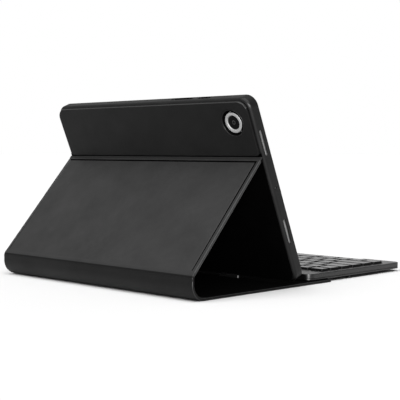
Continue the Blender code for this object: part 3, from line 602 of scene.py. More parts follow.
def arc_path(start, first, last, radius, steps):
    """Points of an arc that leaves `start` in direction `first` and ends in direction `last`."""
    path = []
    side = 1 if last > first else -1
    centre = Vector(start) + side * radius * Vector((-math.sin(first), math.cos(first)))
    for step in range(steps + 1):
        direction = first + (last - first) * step / steps
        offset = side * radius * Vector((math.sin(direction), -math.cos(direction)))
        spot = centre + offset
        path.append((spot.x, spot.y, direction))
    return path


SPINE_LOW, SPINE_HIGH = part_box("spine_cover")
SPINE_WIDTH = SPINE_HIGH.x - SPINE_LOW.x
SPINE_RADIUS = SPINE_HIGH.y - SPINE_LOW.y
UPRIGHT = SPINE_HIGH.y - HALF_PANEL
UPWARDS = math.pi / 2
PROUD = 0.02 * MM
SPINE_OUTER, SPINE_INNER = -HALF_PANEL - PROUD, HALF_PANEL + PROUD
SPINE_EDGE = 0.6 * MM
SPINE_LAP = 3.0 * MM
LINING_WIDTH = SPINE_WIDTH - 3 * MM
LINING_SUNK = 0.2 * MM
LINING_PROUD = 0.05 * MM
LINING_EDGE = 0.08 * MM
CREASE_RADIUS = 6.0 * MM
CREASE_REACH = 3.6 * MM
CREASE_END = 0.4 * MM


def spine_finish(spot, normal, number):
    """The rounded ends of the spine take the lighter band leather: a painted highlight along them."""
    return BAND if 0.25 < abs(normal.x) < 0.95 else GRAIN


def build_spine():
    """Soft spine: one bend off the base and an upright part."""
    path = [(SPINE_LOW.y - SPINE_LAP, HALF_PANEL, 0),
            (SPINE_LOW.y - SPINE_LAP / 2, HALF_PANEL, 0)]
    path += arc_path((SPINE_LOW.y, HALF_PANEL), 0, UPWARDS, SPINE_RADIUS - HALF_PANEL, 18)
    path.append((UPRIGHT, SPINE_RADIUS + 0.5 * MM, UPWARDS))
    bend = object_of("spine_bend", ribbon(path, SPINE_WIDTH + 2 * PROUD, SPINE_OUTER,
                                          SPINE_INNER, SPINE_EDGE))
    refinish(bend, Matrix.Identity(4), spine_finish)
    dress(bend, [SPINE_LEATHER, PAINTED_HIGHLIGHT_LEATHER], slot="spine_leather")
    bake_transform(bend)
    path = [(UPRIGHT, SPINE_RADIUS - 0.5 * MM, UPWARDS),
            (UPRIGHT, SPINE_RADIUS + 3 * MM, UPWARDS), (UPRIGHT, SPINE_HIGH.z, UPWARDS)]
    tall = object_of("spine_upright", ribbon(path, SPINE_WIDTH, -HALF_PANEL, HALF_PANEL,
                                             SPINE_EDGE))
    refinish(tall, Matrix.Identity(4), spine_finish)
    dress(tall, [SPINE_LEATHER, PAINTED_HIGHLIGHT_LEATHER], "spine", ("spine_cover",), "spine_leather")


def build_spine_lining():
    start = SPINE_LOW.y + 0.5 * MM
    path = [(start, HALF_PANEL, 0)]
    path += arc_path((start, HALF_PANEL), 0, UPWARDS, SPINE_RADIUS - HALF_PANEL - 0.5 * MM, 12)
    lining = object_of("spine_lining_bend",
                       ribbon(path, LINING_WIDTH, SPINE_INNER - LINING_SUNK,
                              SPINE_INNER + LINING_PROUD, LINING_EDGE))
    dress(lining, [LINING], slot="microfibre_lining")
    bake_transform(lining)
    path = [(UPRIGHT, SPINE_RADIUS - 0.3 * MM, UPWARDS),
            (UPRIGHT, SPINE_HIGH.z - 1 * MM, UPWARDS)]
    piece("spine_microfibre",
          ribbon(path, LINING_WIDTH, HALF_PANEL - LINING_SUNK, HALF_PANEL + LINING_PROUD,
                 LINING_EDGE),
          Matrix.Identity(4), [LINING], "spine", ("spine_lining",), "microfibre_lining")


def build_crease():
    """Rounded crease between the spine and the flap."""
    along = (math.cos(FLAP_ANGLE), math.sin(FLAP_ANGLE))
    reach = CREASE_RADIUS * math.tan((FLAP_ANGLE - UPWARDS) / 2)
    path = [(UPRIGHT, FLAP_PIVOT.z - CREASE_REACH, UPWARDS),
            (UPRIGHT, FLAP_PIVOT.z - CREASE_REACH + CREASE_END, UPWARDS)]
    path += arc_path((UPRIGHT, FLAP_PIVOT.z - reach), UPWARDS, FLAP_ANGLE, CREASE_RADIUS, 8)
    for distance in (CREASE_REACH - CREASE_END, CREASE_REACH):
        path.append((FLAP_PIVOT.y + along[0] * distance, FLAP_PIVOT.z + along[1] * distance,
                     FLAP_ANGLE))
    bands = [GRAIN] * (len(path) - 5) + [BAND] * 6
    ridge = object_of("crease_spine_flap",
                      ribbon(path, SPINE_WIDTH + 2 * PROUD, SPINE_OUTER - PROUD, SPINE_INNER,
                             SPINE_EDGE, bands, end=0.04 * MM))
    dress(ridge, [SPINE_LEATHER, FLAP_LEATHER_LIT], slot="spine_leather")
    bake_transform(ridge)


def build_fold():
    """Narrow leather strip between the flap and the upper panel, with a web behind it."""
    low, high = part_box("fold_strip")
    width = high.x - low.x
    half = 1.0 * MM
    turn = FLAP_ANGLE - TRAY_ANGLE
    radius = half / math.tan(turn / 2)
    flap_along = Vector((math.cos(FLAP_ANGLE), math.sin(FLAP_ANGLE)))
    tray_along = Vector((math.cos(TRAY_ANGLE), math.sin(TRAY_ANGLE)))
    middle = Vector((FOLD_PIVOT.y, FOLD_PIVOT.z))
    start = middle - flap_along * half
    arc = arc_path((start.x, start.y), FLAP_ANGLE, TRAY_ANGLE, radius, 10)
    lap = []
    for distance in (3.0 * MM, 2.6 * MM):
        spot = middle - flap_along * distance
        lap.append((spot.x, spot.y, FLAP_ANGLE))
    strip_path = lap + arc
    shape = ribbon(strip_path, width, -HALF_PANEL - 0.04 * MM, -0.15 * MM, 0.3 * MM,
                   [0] * (len(strip_path) + 1), end=0.1 * MM)
    tail = middle - flap_along * 3.4 * MM
    head = middle + tray_along * 3.4 * MM
    web = [(tail.x, tail.y, FLAP_ANGLE)] + arc + [(head.x, head.y, TRAY_ANGLE)]
    # The web behind the strip takes the dark groove leather: painted shade in the fold.
    ribbon(web, width - 1 * MM, -0.1 * MM, 0.4 * MM, 0.2 * MM, [1] * (len(web) + 1),
           into=shape)
    strip = object_of("crease_flap_tray", shape)
    dress(strip, [STRIP_LEATHER, GROOVE_SHADE_LEATHER], nodes=("fold_strip",), slot="spine_leather")
    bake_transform(strip)


# ---- tray ---------------------------------------------------------------------------------
TRAY_LOW, TRAY_HIGH = local_box("tray", TRAY_PLACE)
TRAY_LOW.z = HALF_PANEL + GAP
TRAY_MIDDLE = (TRAY_LOW.y + TRAY_HIGH.y) / 2
TRAY_SIZE = (TRAY_HIGH.x - TRAY_LOW.x, TRAY_HIGH.y - TRAY_LOW.y)
SIDE_WALL = 1.35 * MM
END_WALL = 2.75 * MM
TRAY_FLOOR = 1.2 * MM
BACK_FILLET = 3.2 * MM
RIM_FILLET = 0.6 * MM
TRAY_CORNER = 9.7 * MM
SLOT_FROM_CENTRE = 40.1 * MM
SLOTS_ABOVE_MIDDLE = 3.4 * MM
SLOT_FROM_BACK = 4.9 * MM
RING_LOW, RING_HIGH = local_box("camera_ring", TRAY_PLACE)
CAMERA = ((RING_LOW.x + RING_HIGH.x) / 2, (RING_LOW.y + RING_HIGH.y) / 2)
RING_RADIUS = (RING_HIGH.x - RING_LOW.x) / 2
SLOT_LENGTH, SLOT_WIDTH = 22.5 * MM, 3.0 * MM
MIC_WIDTH = 2.2 * MM
SOCKET_LENGTH, SOCKET_WIDTH = 13.5 * MM, 6.4 * MM
NOTCH_MARGIN = 1.8 * MM
NOTCH_RIM = 1.0 * MM
CORNER_STEPS = 14
WINDOW_RADIUS = RING_RADIUS + 3.1 * MM
OPENING_RADIUS = RING_RADIUS + 0.35 * MM


def camera_cutter(face, radius, flare, far_side):
    """Round cutter that opens with a rounded lip at the given outer face."""
    profile = [(radius + flare, face - PANEL)]
    for step in range(7):
        turn = math.pi / 2 * step / 6
        profile.append((radius + flare * (1 - math.sin(turn)),
                        face + flare * (1 - math.cos(turn))))
    profile.append((radius, far_side))
    return object_of("camera_window_tool", turned_solid(profile, CAMERA, 96), TRAY_PLACE)


def wall_cutter(name, axis, across, height, length, width, near, far, flare, radius):
    """Round-ended cutter through a wall along X or Y that widens at the wall's outer face."""
    way = 1 if far > near else -1
    rings = []
    skin = far - way * flare
    for depth, grow in ((near, 0), (skin, 0), (skin + way * flare * 0.6, flare * 0.35),
                        (far, flare), (far + way * 5 * MM, flare)):
        ring = []
        for along, up in outline(length + 2 * grow, width + 2 * grow, radius + grow * 0.9):
            spot = (depth, across + along) if axis == "X" else (across + along, depth)
            ring.append((*spot, height + up))
        rings.append(ring)
    return object_of(name, loft(rings), TRAY_PLACE)


def build_tray():
    levels = rounded(TRAY_LOW.z, BACK_FILLET, 9, top=False)
    levels += rounded(TRAY_HIGH.z, RIM_FILLET, 5, top=True)
    centre = (0, TRAY_MIDDLE)
    shell = object_of("tray_shell", slab(TRAY_SIZE, levels, TRAY_CORNER, centre, steps=CORNER_STEPS),
                      TRAY_PLACE)
    floor = TRAY_LOW.z + TRAY_FLOOR
    flare = 0.3 * MM
    room_size = (TRAY_SIZE[0] - 2 * SIDE_WALL, TRAY_SIZE[1] - 2 * END_WALL)
    room_levels = rounded(floor, 1.2 * MM, 4, top=False)
    room_levels += [(TRAY_HIGH.z - flare, 0), (TRAY_HIGH.z, -flare),
                    (TRAY_HIGH.z + flare, -flare)]
    tools = [object_of("tablet_room_tool",
                       slab(room_size, room_levels, TRAY_CORNER - SIDE_WALL, centre, steps=CORNER_STEPS),
                       TRAY_PLACE),
             camera_cutter(TRAY_LOW.z, OPENING_RADIUS, 0.05 * MM, floor + 2 * MM)]
    height = TRAY_LOW.z + SLOT_FROM_BACK
    middle = TRAY_MIDDLE + SLOTS_ABOVE_MIDDLE
    for side in (-1, 1):
        near = side * (TRAY_SIZE[0] / 2 - SIDE_WALL - 1 * MM)
        far = side * TRAY_SIZE[0] / 2
        for number, across in enumerate((middle - SLOT_FROM_CENTRE, middle + SLOT_FROM_CENTRE)):
            tools.append(wall_cutter(f"slot_tool_{side}_{number}", "X", across, height,
                                     SLOT_LENGTH, SLOT_WIDTH, near, far, 0.35 * MM, 1.45 * MM))
        if side < 0:
            tools.append(wall_cutter("mic_tool", "X", middle, height, MIC_WIDTH, MIC_WIDTH, near,
                                     far, 0.3 * MM, 1.05 * MM))
        else:
            tools.append(wall_cutter("socket_tool", "X", middle, height, SOCKET_LENGTH,
                                     SOCKET_WIDTH, near, far, 0.35 * MM, 3.1 * MM))
    for node in ("volume_key", "power_key"):
        low, high = local_box(node, TRAY_PLACE)
        bottom = low.z - GAP
        top = TRAY_HIGH.z - NOTCH_RIM
        tools.append(wall_cutter(node + "_notch_tool", "Y", (low.x + high.x) / 2,
                                 (bottom + top) / 2, high.x - low.x + 2 * NOTCH_MARGIN, top - bottom,
                                 TRAY_MIDDLE + TRAY_SIZE[1] / 2 - END_WALL - 1 * MM,
                                 TRAY_MIDDLE + TRAY_SIZE[1] / 2, 0.2 * MM, 0.8 * MM))
    carve(shell, *tools)
    # The tray's back face takes the darker TPU: painted shade.
    refinish(shell, TRAY_PLACE, lambda spot, normal, number:
             1 if normal.z < -0.97 and spot.z < TRAY_LOW.z + 0.1 * MM else 0)
    dress(shell, [TPU, TRAY_BACK_SHADE], "tray", ("tray",), "soft_tray", 32)
    upper = leather_panel("upper_panel_leather", "upper_panel_cover", TRAY_PLACE, "tray",
                          [PANEL_LEATHER, PAINTED_HIGHLIGHT_LEATHER], 9.5 * MM, 2.5 * MM,
                          cutters=[camera_cutter(-HALF_PANEL, WINDOW_RADIUS, 0.3 * MM,
                                                 2 * PANEL)], outer_edge=PANEL_EDGE)
    refinish(upper, TRAY_PLACE, lambda spot, normal, number:
             BAND if number == BAND and normal.y > 0.3 else GRAIN)
    mouth = WINDOW_RADIUS - 0.75 * MM
    face = -HALF_PANEL
    funnel = [(WINDOW_RADIUS - 0.08 * MM, TRAY_LOW.z + 0.2 * MM),
              (WINDOW_RADIUS - 0.08 * MM, face + 0.15 * MM),
              (WINDOW_RADIUS - 0.2 * MM, face + 0.02 * MM), (mouth + 0.25 * MM, face),
              (mouth, face + 0.12 * MM), (mouth - 0.15 * MM, face + 0.3 * MM),
              (OPENING_RADIUS + 0.1 * MM, TRAY_LOW.z), (OPENING_RADIUS, TRAY_LOW.z + 0.2 * MM)]
    shape = ring_solid(funnel, CAMERA)
    # The funnel's inner wall takes the darker TPU: painted shade.
    for polygon in shape.faces:
        spot = polygon.calc_center_median()
        if math.hypot(spot.x - CAMERA[0], spot.y - CAMERA[1]) < mouth - 0.3 * MM:
            polygon.material_index = 1
    piece("camera_funnel", shape, TRAY_PLACE, [TPU, TRAY_BACK_SHADE], "tray", slot="soft_tray")


# ---- tablet -------------------------------------------------------------------------------
TABLET_CORNER = 8.0 * MM
RING_WIDTH = 2.7 * MM
EDGE_KEYS = ("volume_key", "power_key")
POCKET_CLEARANCE = 0.25 * MM
SPEAKER_HOLES = 5
SPEAKER_PITCH = 3.7 * MM


def build_housing():
    low, high = local_box("tablet_housing", TRAY_PLACE)
    size, centre = extent(low, high)
    levels = rounded(low.z, 1.6 * MM, 8, top=False)
    levels += [(high.z - 0.15 * MM, 0), (high.z, 0.15 * MM)]
    housing = object_of("tablet_body", slab(size, levels, TABLET_CORNER, centre, steps=CORNER_STEPS),
                        TRAY_PLACE)
    tools = []
    clear = POCKET_CLEARANCE
    for node in EDGE_KEYS:
        key_low, key_high = local_box(node, TRAY_PLACE)
        tools.append(wall_cutter(node + "_pocket_tool", "Y", (key_low.x + key_high.x) / 2,
                                 (key_low.z + key_high.z) / 2,
                                 key_high.x - key_low.x + 2 * clear,
                                 key_high.z - key_low.z + 2 * clear,
                                 key_low.y - 0.4 * MM - clear, high.y, 0.15 * MM, 0.9 * MM))
    height = TRAY_LOW.z + SLOT_FROM_BACK
    middle = TRAY_MIDDLE + SLOTS_ABOVE_MIDDLE
    side_face = size[0] / 2
    for side in (-1, 1):
        near, far = side * (side_face - 1.5 * MM), side * side_face
        for spot in (middle - SLOT_FROM_CENTRE, middle + SLOT_FROM_CENTRE):
            for number in range(SPEAKER_HOLES):
                across = spot + (number - SPEAKER_HOLES // 2) * SPEAKER_PITCH
                tools.append(wall_cutter(f"speaker_tool_{side}_{number}", "X", across,
                                         height - 0.9 * MM, 2.7 * MM, 1.1 * MM, near, far,
                                         0.1 * MM, 0.5 * MM))
        if side > 0:
            tools.append(wall_cutter("usb_port_tool", "X", middle, height - 0.4 * MM,
                                     8.9 * MM, 3.2 * MM, side * (side_face - 6 * MM), far,
                                     0.2 * MM, 1.5 * MM))
        else:
            tools.append(wall_cutter("microphone_tool", "X", middle, height, 1.0 * MM,
                                     1.0 * MM, near, far, 0.1 * MM, 0.48 * MM))
    carve(housing, *tools)
    dress(housing, [ALUMINIUM], "tablet", ("tablet_housing",), "tablet_aluminium", 32)


def build_screen():
    low, high = local_box("display_glass", TRAY_PLACE)
    size, centre = extent(low, high)
    levels = [(low.z, 0)] + rounded(high.z, 0.45 * MM, 5, top=True)
    levels += [(high.z, 8.5 * MM), (high.z, 8.8 * MM)]
    bands = [0] * (len(levels) - 1) + [0, 1]
    piece("tablet_screen", slab(size, levels, TABLET_CORNER, centre, steps=CORNER_STEPS, bands=bands),
          TRAY_PLACE, [BEZEL, DISPLAY], "tablet", ("display_glass",), "display_glass")
    spot = (0, high.y - 4.2 * MM)
    top = high.z + 0.03 * MM
    eye = [(2.0 * MM, high.z - 0.1 * MM), (2.0 * MM, top), (1.5 * MM, top),
           (1.5 * MM, top - 0.02 * MM), (0.6 * MM, top - 0.02 * MM), (0.2 * MM, top)]
    piece("front_camera", turned_solid(eye, spot, 32, [0, 0, 0, 1, 0, 0, 0]), TRAY_PLACE,
          [LENS, LENS_RING_AND_HIGHLIGHT], "tablet", slot="lens_glass")


def build_rear_camera():
    low, high = RING_LOW, RING_HIGH
    outer = RING_RADIUS
    inner = outer - RING_WIDTH
    face = low.z
    ring = [(outer, high.z), (outer, face + 0.3 * MM), (outer - 0.12 * MM, face + 0.1 * MM),
            (outer - 0.35 * MM, face), (inner + 0.55 * MM, face),
            (inner + 0.3 * MM, face + 0.06 * MM), (inner + 0.02 * MM, face + 0.35 * MM),
            (inner, face + 0.6 * MM), (inner, high.z)]
    shape = ring_solid(ring, CAMERA)
    # The ring's outer wall is painted dark: painted shade.
    for polygon in shape.faces:
        spot = polygon.calc_center_median()
        if math.hypot(spot.x - CAMERA[0], spot.y - CAMERA[1]) > outer - 0.04 * MM:
            polygon.material_index = 1
    piece("camera_ring_turned", shape, TRAY_PLACE, [RING_METAL, RING_WALL_SHADE], "tablet",
          ("camera_ring",), "camera_ring_metal", 50)
    low, high = local_box("camera_lens", TRAY_PLACE)
    radius = (high.x - low.x) / 2
    lens = [(radius - 0.05 * MM, high.z), (radius, high.z - 0.08 * MM),
            (radius, low.z + 0.18 * MM), (radius - 0.2 * MM, low.z + 0.1 * MM)]
    bands = [0, 0, 0, 0]
    # A thin ring near the lens centre takes the lighter lens-ring metal: a painted highlight.
    for share, band in ((0.8, 0), (0.6, 0), (0.5, 0), (0.42, 0), (0.3, 0), (0.2, 1),
                        (0.12, 0)):
        lens.append((radius * share, low.z + 0.1 * MM * share))
        bands.append(band)
    bands.append(0)
    piece("camera_lens_glass", turned_solid(lens, CAMERA, 96, bands), TRAY_PLACE,
          [LENS, LENS_RING_AND_HIGHLIGHT], "tablet", ("camera_lens",), "lens_glass", 50)


def build_edge_keys():
    for node in EDGE_KEYS:
        low, high = local_box(node, TRAY_PLACE)
        half_x, half_z = (high.x - low.x) / 2, (high.z - low.z) / 2
        rings = []
        edge = 0.3 * MM
        spots = [(low.y, 0), (high.y - edge, 0), (high.y - edge * 0.4, edge * 0.35),
                 (high.y, edge)]
        for y, inset in spots:
            rings.append([((low.x + high.x) / 2 + x, y, (low.z + high.z) / 2 + z)
                          for x, z in outline(2 * (half_x - inset), 2 * (half_z - inset),
                                              0.85 * MM - inset * 0.5)])
        piece(node + "_cap", loft(rings), TRAY_PLACE, [ALUMINIUM], node, (node,),
              "tablet_aluminium", 50)


# ---- keyboard -----------------------------------------------------------------------------
KEY_TAPER = 0.5 * MM
KEY_CLEARANCE = 0.35 * MM
KEY_CORNER = 1.5 * MM
KEY_EDGE = 0.8 * MM
DECK_THICKNESS = 1.0 * MM
DECK_LOW, DECK_HIGH = local_box("keyboard_upper_case", KEYBOARD_PLACE)
DECK = DECK_HIGH.z
CASE_SIZE = extent(DECK_LOW, DECK_HIGH)[0]
CASE_SIDE = CASE_SIZE[0] / 2
CASE_CORNER = 7.0 * MM
CASE_WALL = 1.4 * MM
CASE_BAR = 8.0 * MM
CASE_FLOOR = 0.8 * MM
CASE_EDGE = 0.7 * MM
SEAM_EDGE = 0.15 * MM
WELL_FLARE = 0.2 * MM
SIDE_FLARE = 0.2 * MM
BED_DEPTH = 0.35 * MM
BED_MARGIN = KEY_TAPER + KEY_CLEARANCE + 0.5 * MM
SCOOP_HALF, SCOOP_DEPTH, SCOOP_REACH = 79 * MM, 1.1 * MM, 6 * MM
SCOOP_LIP = 1.2 * MM
SWITCH_CLEARANCE = 0.25 * MM
SWITCH_TRAVEL = 2.0 * MM
SWITCH_CORNER = 0.3 * MM
ROUND_END = 0.95 / 2
SWITCH_LOW, SWITCH_HIGH = local_box("power_switch", KEYBOARD_PLACE)
SWITCH_SIZE = (SWITCH_HIGH.y - SWITCH_LOW.y, SWITCH_HIGH.z - SWITCH_LOW.z)
LAMP_LOW, LAMP_HIGH = local_box("indicator_window", KEYBOARD_PLACE)
LAMP_SIZE, LAMP_MIDDLE = extent(LAMP_LOW, LAMP_HIGH)


def key_caps():
    """For every key body: the rectangles of its key tops, in keyboard space, and their height."""
    caps = {}
    back = KEYBOARD_PLACE.inverted()
    for node, cad in frame["nodes"].items():
        if not node.startswith("key_"):
            continue
        points = [back @ vertex.co for vertex in cad.data.vertices]
        top = max(point.z for point in points)
        upper = [point for point in points if point.z > top - 0.05 * MM]
        edges = sorted({round(point.x, 5) for point in upper})
        near = min(point.y for point in upper)
        far = max(point.y for point in upper)
        caps[node] = [(left, right, near, far, top) for left, right in
                      zip(edges[::2], edges[1::2])]
    return caps


def key_bed(caps):
    """Size and middle of the recess that holds all the keys."""
    rects = [rect for group in caps.values() for rect in group]
    low = Vector((min(rect[0] for rect in rects), min(rect[2] for rect in rects)))
    high = Vector((max(rect[1] for rect in rects), max(rect[3] for rect in rects)))
    return high - low + Vector((2 * BED_MARGIN, 2 * BED_MARGIN)), (low + high) / 2


def build_key(node, caps):
    """Tapered, dished caps with rounded corners. Keys of one row block share a piece."""
    shape = bmesh.new()
    taper = KEY_TAPER * 0.8
    for left, right, near, far, top in caps:
        size = (right - left + 2 * KEY_TAPER, far - near + 2 * KEY_TAPER)
        centre = ((left + right) / 2, (near + far) / 2)
        levels = [(DECK - DECK_THICKNESS, 0), (top - KEY_EDGE, taper)]
        for step in (1, 2, 3):
            turn = math.pi / 2 * step / 3
            levels.append((top - KEY_EDGE * (1 - math.sin(turn)),
                           taper + KEY_EDGE * (1 - math.cos(turn))))
        for inset, sunk in ((1.9, 0.04), (2.6, 0.09), (3.4, 0.13), (4.4, 0.15)):
            levels.append((top - sunk * MM, inset * MM))
        # The cap's sides and the lower part of its rounded edge take the darker side plastic, painted
        # shade; the top keeps the lighter key plastic.
        bands = [1, 1, 1, 1] + [0] * (len(levels) - 3)
        slab(size, levels, KEY_CORNER, centre, steps=5, bands=bands, into=shape)
    piece("cap_" + node, shape, KEYBOARD_PLACE, [KEY_PLASTIC, KEY_SIDE_SHADE], node, (node,),
          "key_plastic", 50)


def deck_mouth(bottom, flare):
    """Levels of a cutter that opens with a bevel at the deck's top face."""
    return [(bottom, 0), (DECK - flare, 0), (DECK, -flare), (DECK + MM, -flare)]


def side_mouth(start, grow):
    """Stations of a cutter along X that opens with a bevel at the case's side."""
    return [(start, grow), (CASE_SIDE - SIDE_FLARE, grow), (CASE_SIDE, grow + SIDE_FLARE),
            (CASE_SIDE + MM, grow + SIDE_FLARE)]


def rod(stations, size, corner, middle):
    """Solid through rounded sections: (x, growth) stations about a (y, z) middle."""
    rings = []
    for x, grow in stations:
        rings.append([(x, middle[0] + y, middle[1] + z)
                      for y, z in outline(size[0] + 2 * grow, size[1] + 2 * grow, corner)])
    return loft(rings)


def case_room(name, bottom, top):
    """Cutter for the room inside the case, behind the solid bar at its front."""
    return object_of(name, slab((CASE_SIZE[0] - 2 * CASE_WALL, CASE_SIZE[1] - CASE_WALL - CASE_BAR),
                                [(bottom, 0), (top, 0)], CASE_CORNER - CASE_WALL,
                                (0, (CASE_BAR - CASE_WALL) / 2)), KEYBOARD_PLACE)


def wells_tool(caps):
    shape = bmesh.new()
    grow = KEY_TAPER + KEY_CLEARANCE
    for rects in caps.values():
        for left, right, near, far, _ in rects:
            slab((right - left + 2 * grow, far - near + 2 * grow),
                 deck_mouth(DECK - 3 * DECK_THICKNESS, WELL_FLARE), KEY_CORNER + KEY_CLEARANCE,
                 ((left + right) / 2, (near + far) / 2), steps=5, into=shape)
    return object_of("wells_tool", shape, KEYBOARD_PLACE)


def scoop_tool():
    front = -CASE_SIZE[1] / 2
    rings = []
    for z, grow in ((DECK - SCOOP_DEPTH, 0.0), (DECK - SCOOP_DEPTH * 0.9, 0.35 * MM),
                    (DECK - SCOOP_DEPTH * 0.5, 0.9 * MM), (DECK, SCOOP_LIP),
                    (DECK + 1 * MM, SCOOP_LIP)):
        rings.append([(x, y + front, z) for x, y in
                      outline(2 * (SCOOP_HALF - SCOOP_LIP + grow),
                              2 * (SCOOP_REACH - SCOOP_LIP + grow), 3 * MM, None, 8)])
    return object_of("scoop_tool", loft(rings), KEYBOARD_PLACE)


def socket_tool(name):
    low, high = local_box("usb_socket", KEYBOARD_PLACE)
    size = (high.y - low.y, high.z - low.z)
    return object_of(name, rod(side_mouth(low.x - GAP, GAP), size, size[1] / 2,
                               ((low.y + high.y) / 2, (low.z + high.z) / 2)), KEYBOARD_PLACE)


def switch_tool():
    """Cutter for the slot that the power switch slides in."""
    near = SWITCH_LOW.y - SWITCH_TRAVEL - SWITCH_CLEARANCE
    far = SWITCH_HIGH.y + SWITCH_CLEARANCE
    return object_of("switch_tool",
                     rod(side_mouth(CASE_SIDE - 2 * CASE_WALL, 0),
                         (far - near, SWITCH_SIZE[1] + 2 * SWITCH_CLEARANCE), SWITCH_CORNER,
                         ((near + far) / 2, (SWITCH_LOW.z + SWITCH_HIGH.z) / 2)),
                     KEYBOARD_PLACE)


def lamp_tool():
    size = (LAMP_SIZE[0] + 2 * GAP, LAMP_SIZE[1] + 2 * GAP)
    return object_of("lamp_tool", slab(size, deck_mouth(LAMP_LOW.z - 2 * MM, SEAM_EDGE),
                                       size[1] * ROUND_END, LAMP_MIDDLE), KEYBOARD_PLACE)


def build_deck(caps):
    levels = rounded(DECK_LOW.z, SEAM_EDGE, 2, top=False) + rounded(DECK, CASE_EDGE, 6, top=True)
    upper = object_of("keyboard_deck", slab(CASE_SIZE, levels, CASE_CORNER, steps=CORNER_STEPS),
                      KEYBOARD_PLACE)
    bed_size, bed_middle = key_bed(caps)
    bed = object_of("bed_tool", slab(bed_size, deck_mouth(DECK - BED_DEPTH, SEAM_EDGE), 2.5 * MM,
                                     bed_middle), KEYBOARD_PLACE)
    carve(upper, case_room("room_tool", DECK_LOW.z - 1 * MM, DECK - DECK_THICKNESS), bed,
          wells_tool(caps), scoop_tool(), socket_tool("upper_socket_tool"), switch_tool(),
          lamp_tool())

    def deck_finish(spot, normal, number):
        """The bed between the keys is painted darker than the deck: painted shade between the keys."""
        inside = (abs(spot.x - bed_middle.x) < bed_size.x / 2 + 0.1 * MM and
                  abs(spot.y - bed_middle.y) < bed_size.y / 2 + 0.1 * MM)
        return 1 if inside and spot.z < DECK - 0.2 * MM else 0

    refinish(upper, KEYBOARD_PLACE, deck_finish)
    dress(upper, [CASE_PLASTIC, KEY_BED_SHADE], "keyboard", ("keyboard_upper_case",),
          "keyboard_plastic", 32)


def build_tub():
    low, high = local_box("keyboard_lower_case", KEYBOARD_PLACE)
    levels = rounded(low.z, CASE_EDGE, 6, top=False) + rounded(high.z, SEAM_EDGE, 2, top=True)
    lower = object_of("keyboard_tub", slab(CASE_SIZE, levels, CASE_CORNER, steps=CORNER_STEPS),
                      KEYBOARD_PLACE)
    carve(lower, case_room("tub_room_tool", CASE_FLOOR, high.z + 1 * MM),
          socket_tool("lower_socket_tool"))
    dress(lower, [CASE_PLASTIC], "keyboard", ("keyboard_lower_case",), "keyboard_plastic", 32)


def build_lamp():
    levels = [(LAMP_LOW.z, 0)] + rounded(LAMP_HIGH.z - 0.02 * MM, 0.2 * MM, 3, top=True)
    piece("indicator_lens", slab(LAMP_SIZE, levels, LAMP_SIZE[1] * ROUND_END, LAMP_MIDDLE),
          KEYBOARD_PLACE, [LAMP], "keyboard", ("indicator_window",), "indicator_plastic")


def build_switch():
    """Sliding knob with three grip ribs."""
    y, z = (SWITCH_LOW.y + SWITCH_HIGH.y) / 2, (SWITCH_LOW.z + SWITCH_HIGH.z) / 2
    tip = SWITCH_HIGH.x
    knob = rod(((SWITCH_LOW.x, 0), (tip - 0.25 * MM, 0), (tip - 0.08 * MM, -0.08 * MM),
                (tip, -0.25 * MM)), SWITCH_SIZE, SWITCH_CORNER, (y, z))
    for number in range(3):
        spot = y + (number - 1) * 0.9 * MM
        rib = []
        for x, half in ((tip - 0.2 * MM, 0.16 * MM), (tip + 0.02 * MM, 0.1 * MM)):
            rib.append([(x, spot + half, z - 0.5 * MM), (x, spot + half, z + 0.5 * MM),
                        (x, spot - half, z + 0.5 * MM), (x, spot - half, z - 0.5 * MM)])
        loft(rib, into=knob)
    piece("power_switch_knob", knob, KEYBOARD_PLACE, [CASE_PLASTIC], "power_switch",
          ("power_switch",), "keyboard_plastic")


def build_keyboard():
    caps = key_caps()
    build_deck(caps)
    build_tub()
    build_lamp()
    build_switch()
    for node, rects in caps.items():
        build_key(node, rects)


def finish_hidden_parts():
    """Carried-over parts inside the panels and the keyboard keep their shape."""
    finishes = {"base_board": BOARD, "spine_board": BOARD, "flap_board": BOARD,
                "upper_panel_board": BOARD, "base_magnet_strip": STEEL, "dome_sheet": RUBBER,
                "support_plate": STEEL, "circuit_board": CIRCUIT, "battery_cell": FOIL,
                "usb_socket": STEEL}
    for node, finish in finishes.items():
        for slot in frame["nodes"][node].material_slots:
            slot.material = finish


build_base()
build_flap()
build_stops()
build_rest_pad()
build_spine()
build_spine_lining()
build_crease()
build_fold()
build_tray()
build_housing()
build_screen()
build_rear_camera()
build_edge_keys()
build_keyboard()
finish_hidden_parts()


# ---- studio -------------------------------------------------------------------------------
AIR_LIGHT = 0.38
AIR_SEEN = 1.0
SUN_POWER = 3.3
SUN_SPREAD = math.radians(75)
SUN_FROM = Vector((-0.15, 0.45, 1.0))
VIEW_FROM = (-0.6619, 0.6605, 0.1159)
VIEW_ALONG = Vector((0.70264, -0.70983, -0.04932))
VIEW_ROLL = math.radians(0.075)


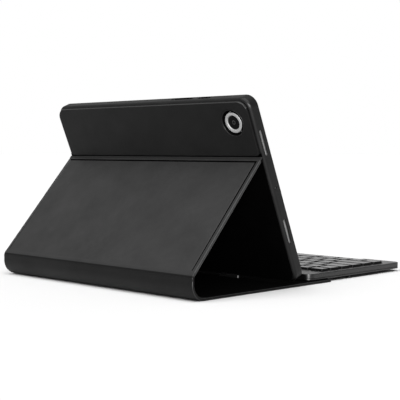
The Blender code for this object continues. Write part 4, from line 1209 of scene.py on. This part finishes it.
def build_studio():
    bpy.ops.mesh.primitive_plane_add(size=40, location=(0, 0, -0.05 * MM))
    floor = bpy.context.object
    floor.name = "studio_floor"
    finish = Finish("studio_paper", Specular_IOR_Level=0.0)
    paper = finish.noise(0.4, 3.0)
    finish.colours(finish.spread(paper, 0.0, 1.0), grey(0.765), grey(0.775))
    finish.roughness(paper, 0.95, 1.0)
    floor.data.materials.append(finish.material)

    world = bpy.data.worlds.new("studio_air")
    bpy.context.scene.world = world
    world.use_nodes = True
    tree = world.node_tree
    background = tree.nodes["Background"]
    background.inputs["Color"].default_value = (1, 1, 1, 1)
    background.inputs["Strength"].default_value = AIR_LIGHT
    sight = tree.nodes.new("ShaderNodeBackground")
    sight.inputs["Color"].default_value = (1, 1, 1, 1)
    sight.inputs["Strength"].default_value = AIR_SEEN
    path = tree.nodes.new("ShaderNodeLightPath")
    mix = tree.nodes.new("ShaderNodeMixShader")
    tree.links.new(path.outputs["Is Camera Ray"], mix.inputs["Fac"])
    tree.links.new(background.outputs["Background"], mix.inputs[1])
    tree.links.new(sight.outputs["Background"], mix.inputs[2])
    tree.links.new(mix.outputs["Shader"], tree.nodes["World Output"].inputs["Surface"])

    sun = bpy.data.lights.new("soft_sky", "SUN")
    sun.energy = SUN_POWER
    sun.angle = SUN_SPREAD
    lamp = bpy.data.objects.new("soft_sky", sun)
    bpy.context.scene.collection.objects.link(lamp)
    lamp.rotation_euler = SUN_FROM.to_track_quat("Z", "Y").to_euler()

    for name, place, width, height, power in (
            ("edge_strip", (-1.25, 1.22, 0.22), 0.6, 0.44, 50.0),
            ("far_wall", (0.9, -1.3, 0.36), 2.4, 0.7, 1.7)):
        light = bpy.data.lights.new(name, "AREA")
        light.shape = "RECTANGLE"
        light.size = width
        light.size_y = height
        light.energy = power
        lamp = bpy.data.objects.new(name, light)
        bpy.context.scene.collection.objects.link(lamp)
        lamp.location = place
        lamp.rotation_euler = Vector((place[0], place[1], 0)).to_track_quat("Z", "Y").to_euler()
        lamp.visible_camera = False
        lamp.visible_diffuse = name == "far_wall"


def build_camera():
    lens = bpy.data.cameras.new("camera")
    lens.sensor_width = 36.0
    lens.lens = 90.0
    lens.clip_start = 0.01
    lens.clip_end = 100.0
    camera = bpy.data.objects.new("camera", lens)
    bpy.context.scene.collection.objects.link(camera)
    camera.location = VIEW_FROM
    camera.rotation_mode = "QUATERNION"
    roll = Matrix.Rotation(VIEW_ROLL, 4, "Z")
    look = VIEW_ALONG.to_track_quat("-Z", "Y").to_matrix().to_4x4() @ roll
    camera.rotation_quaternion = look.to_quaternion()
    bpy.context.scene.camera = camera


build_studio()
build_camera()
bpy.context.scene.view_settings.view_transform = "Standard"
bpy.context.view_layer.update()
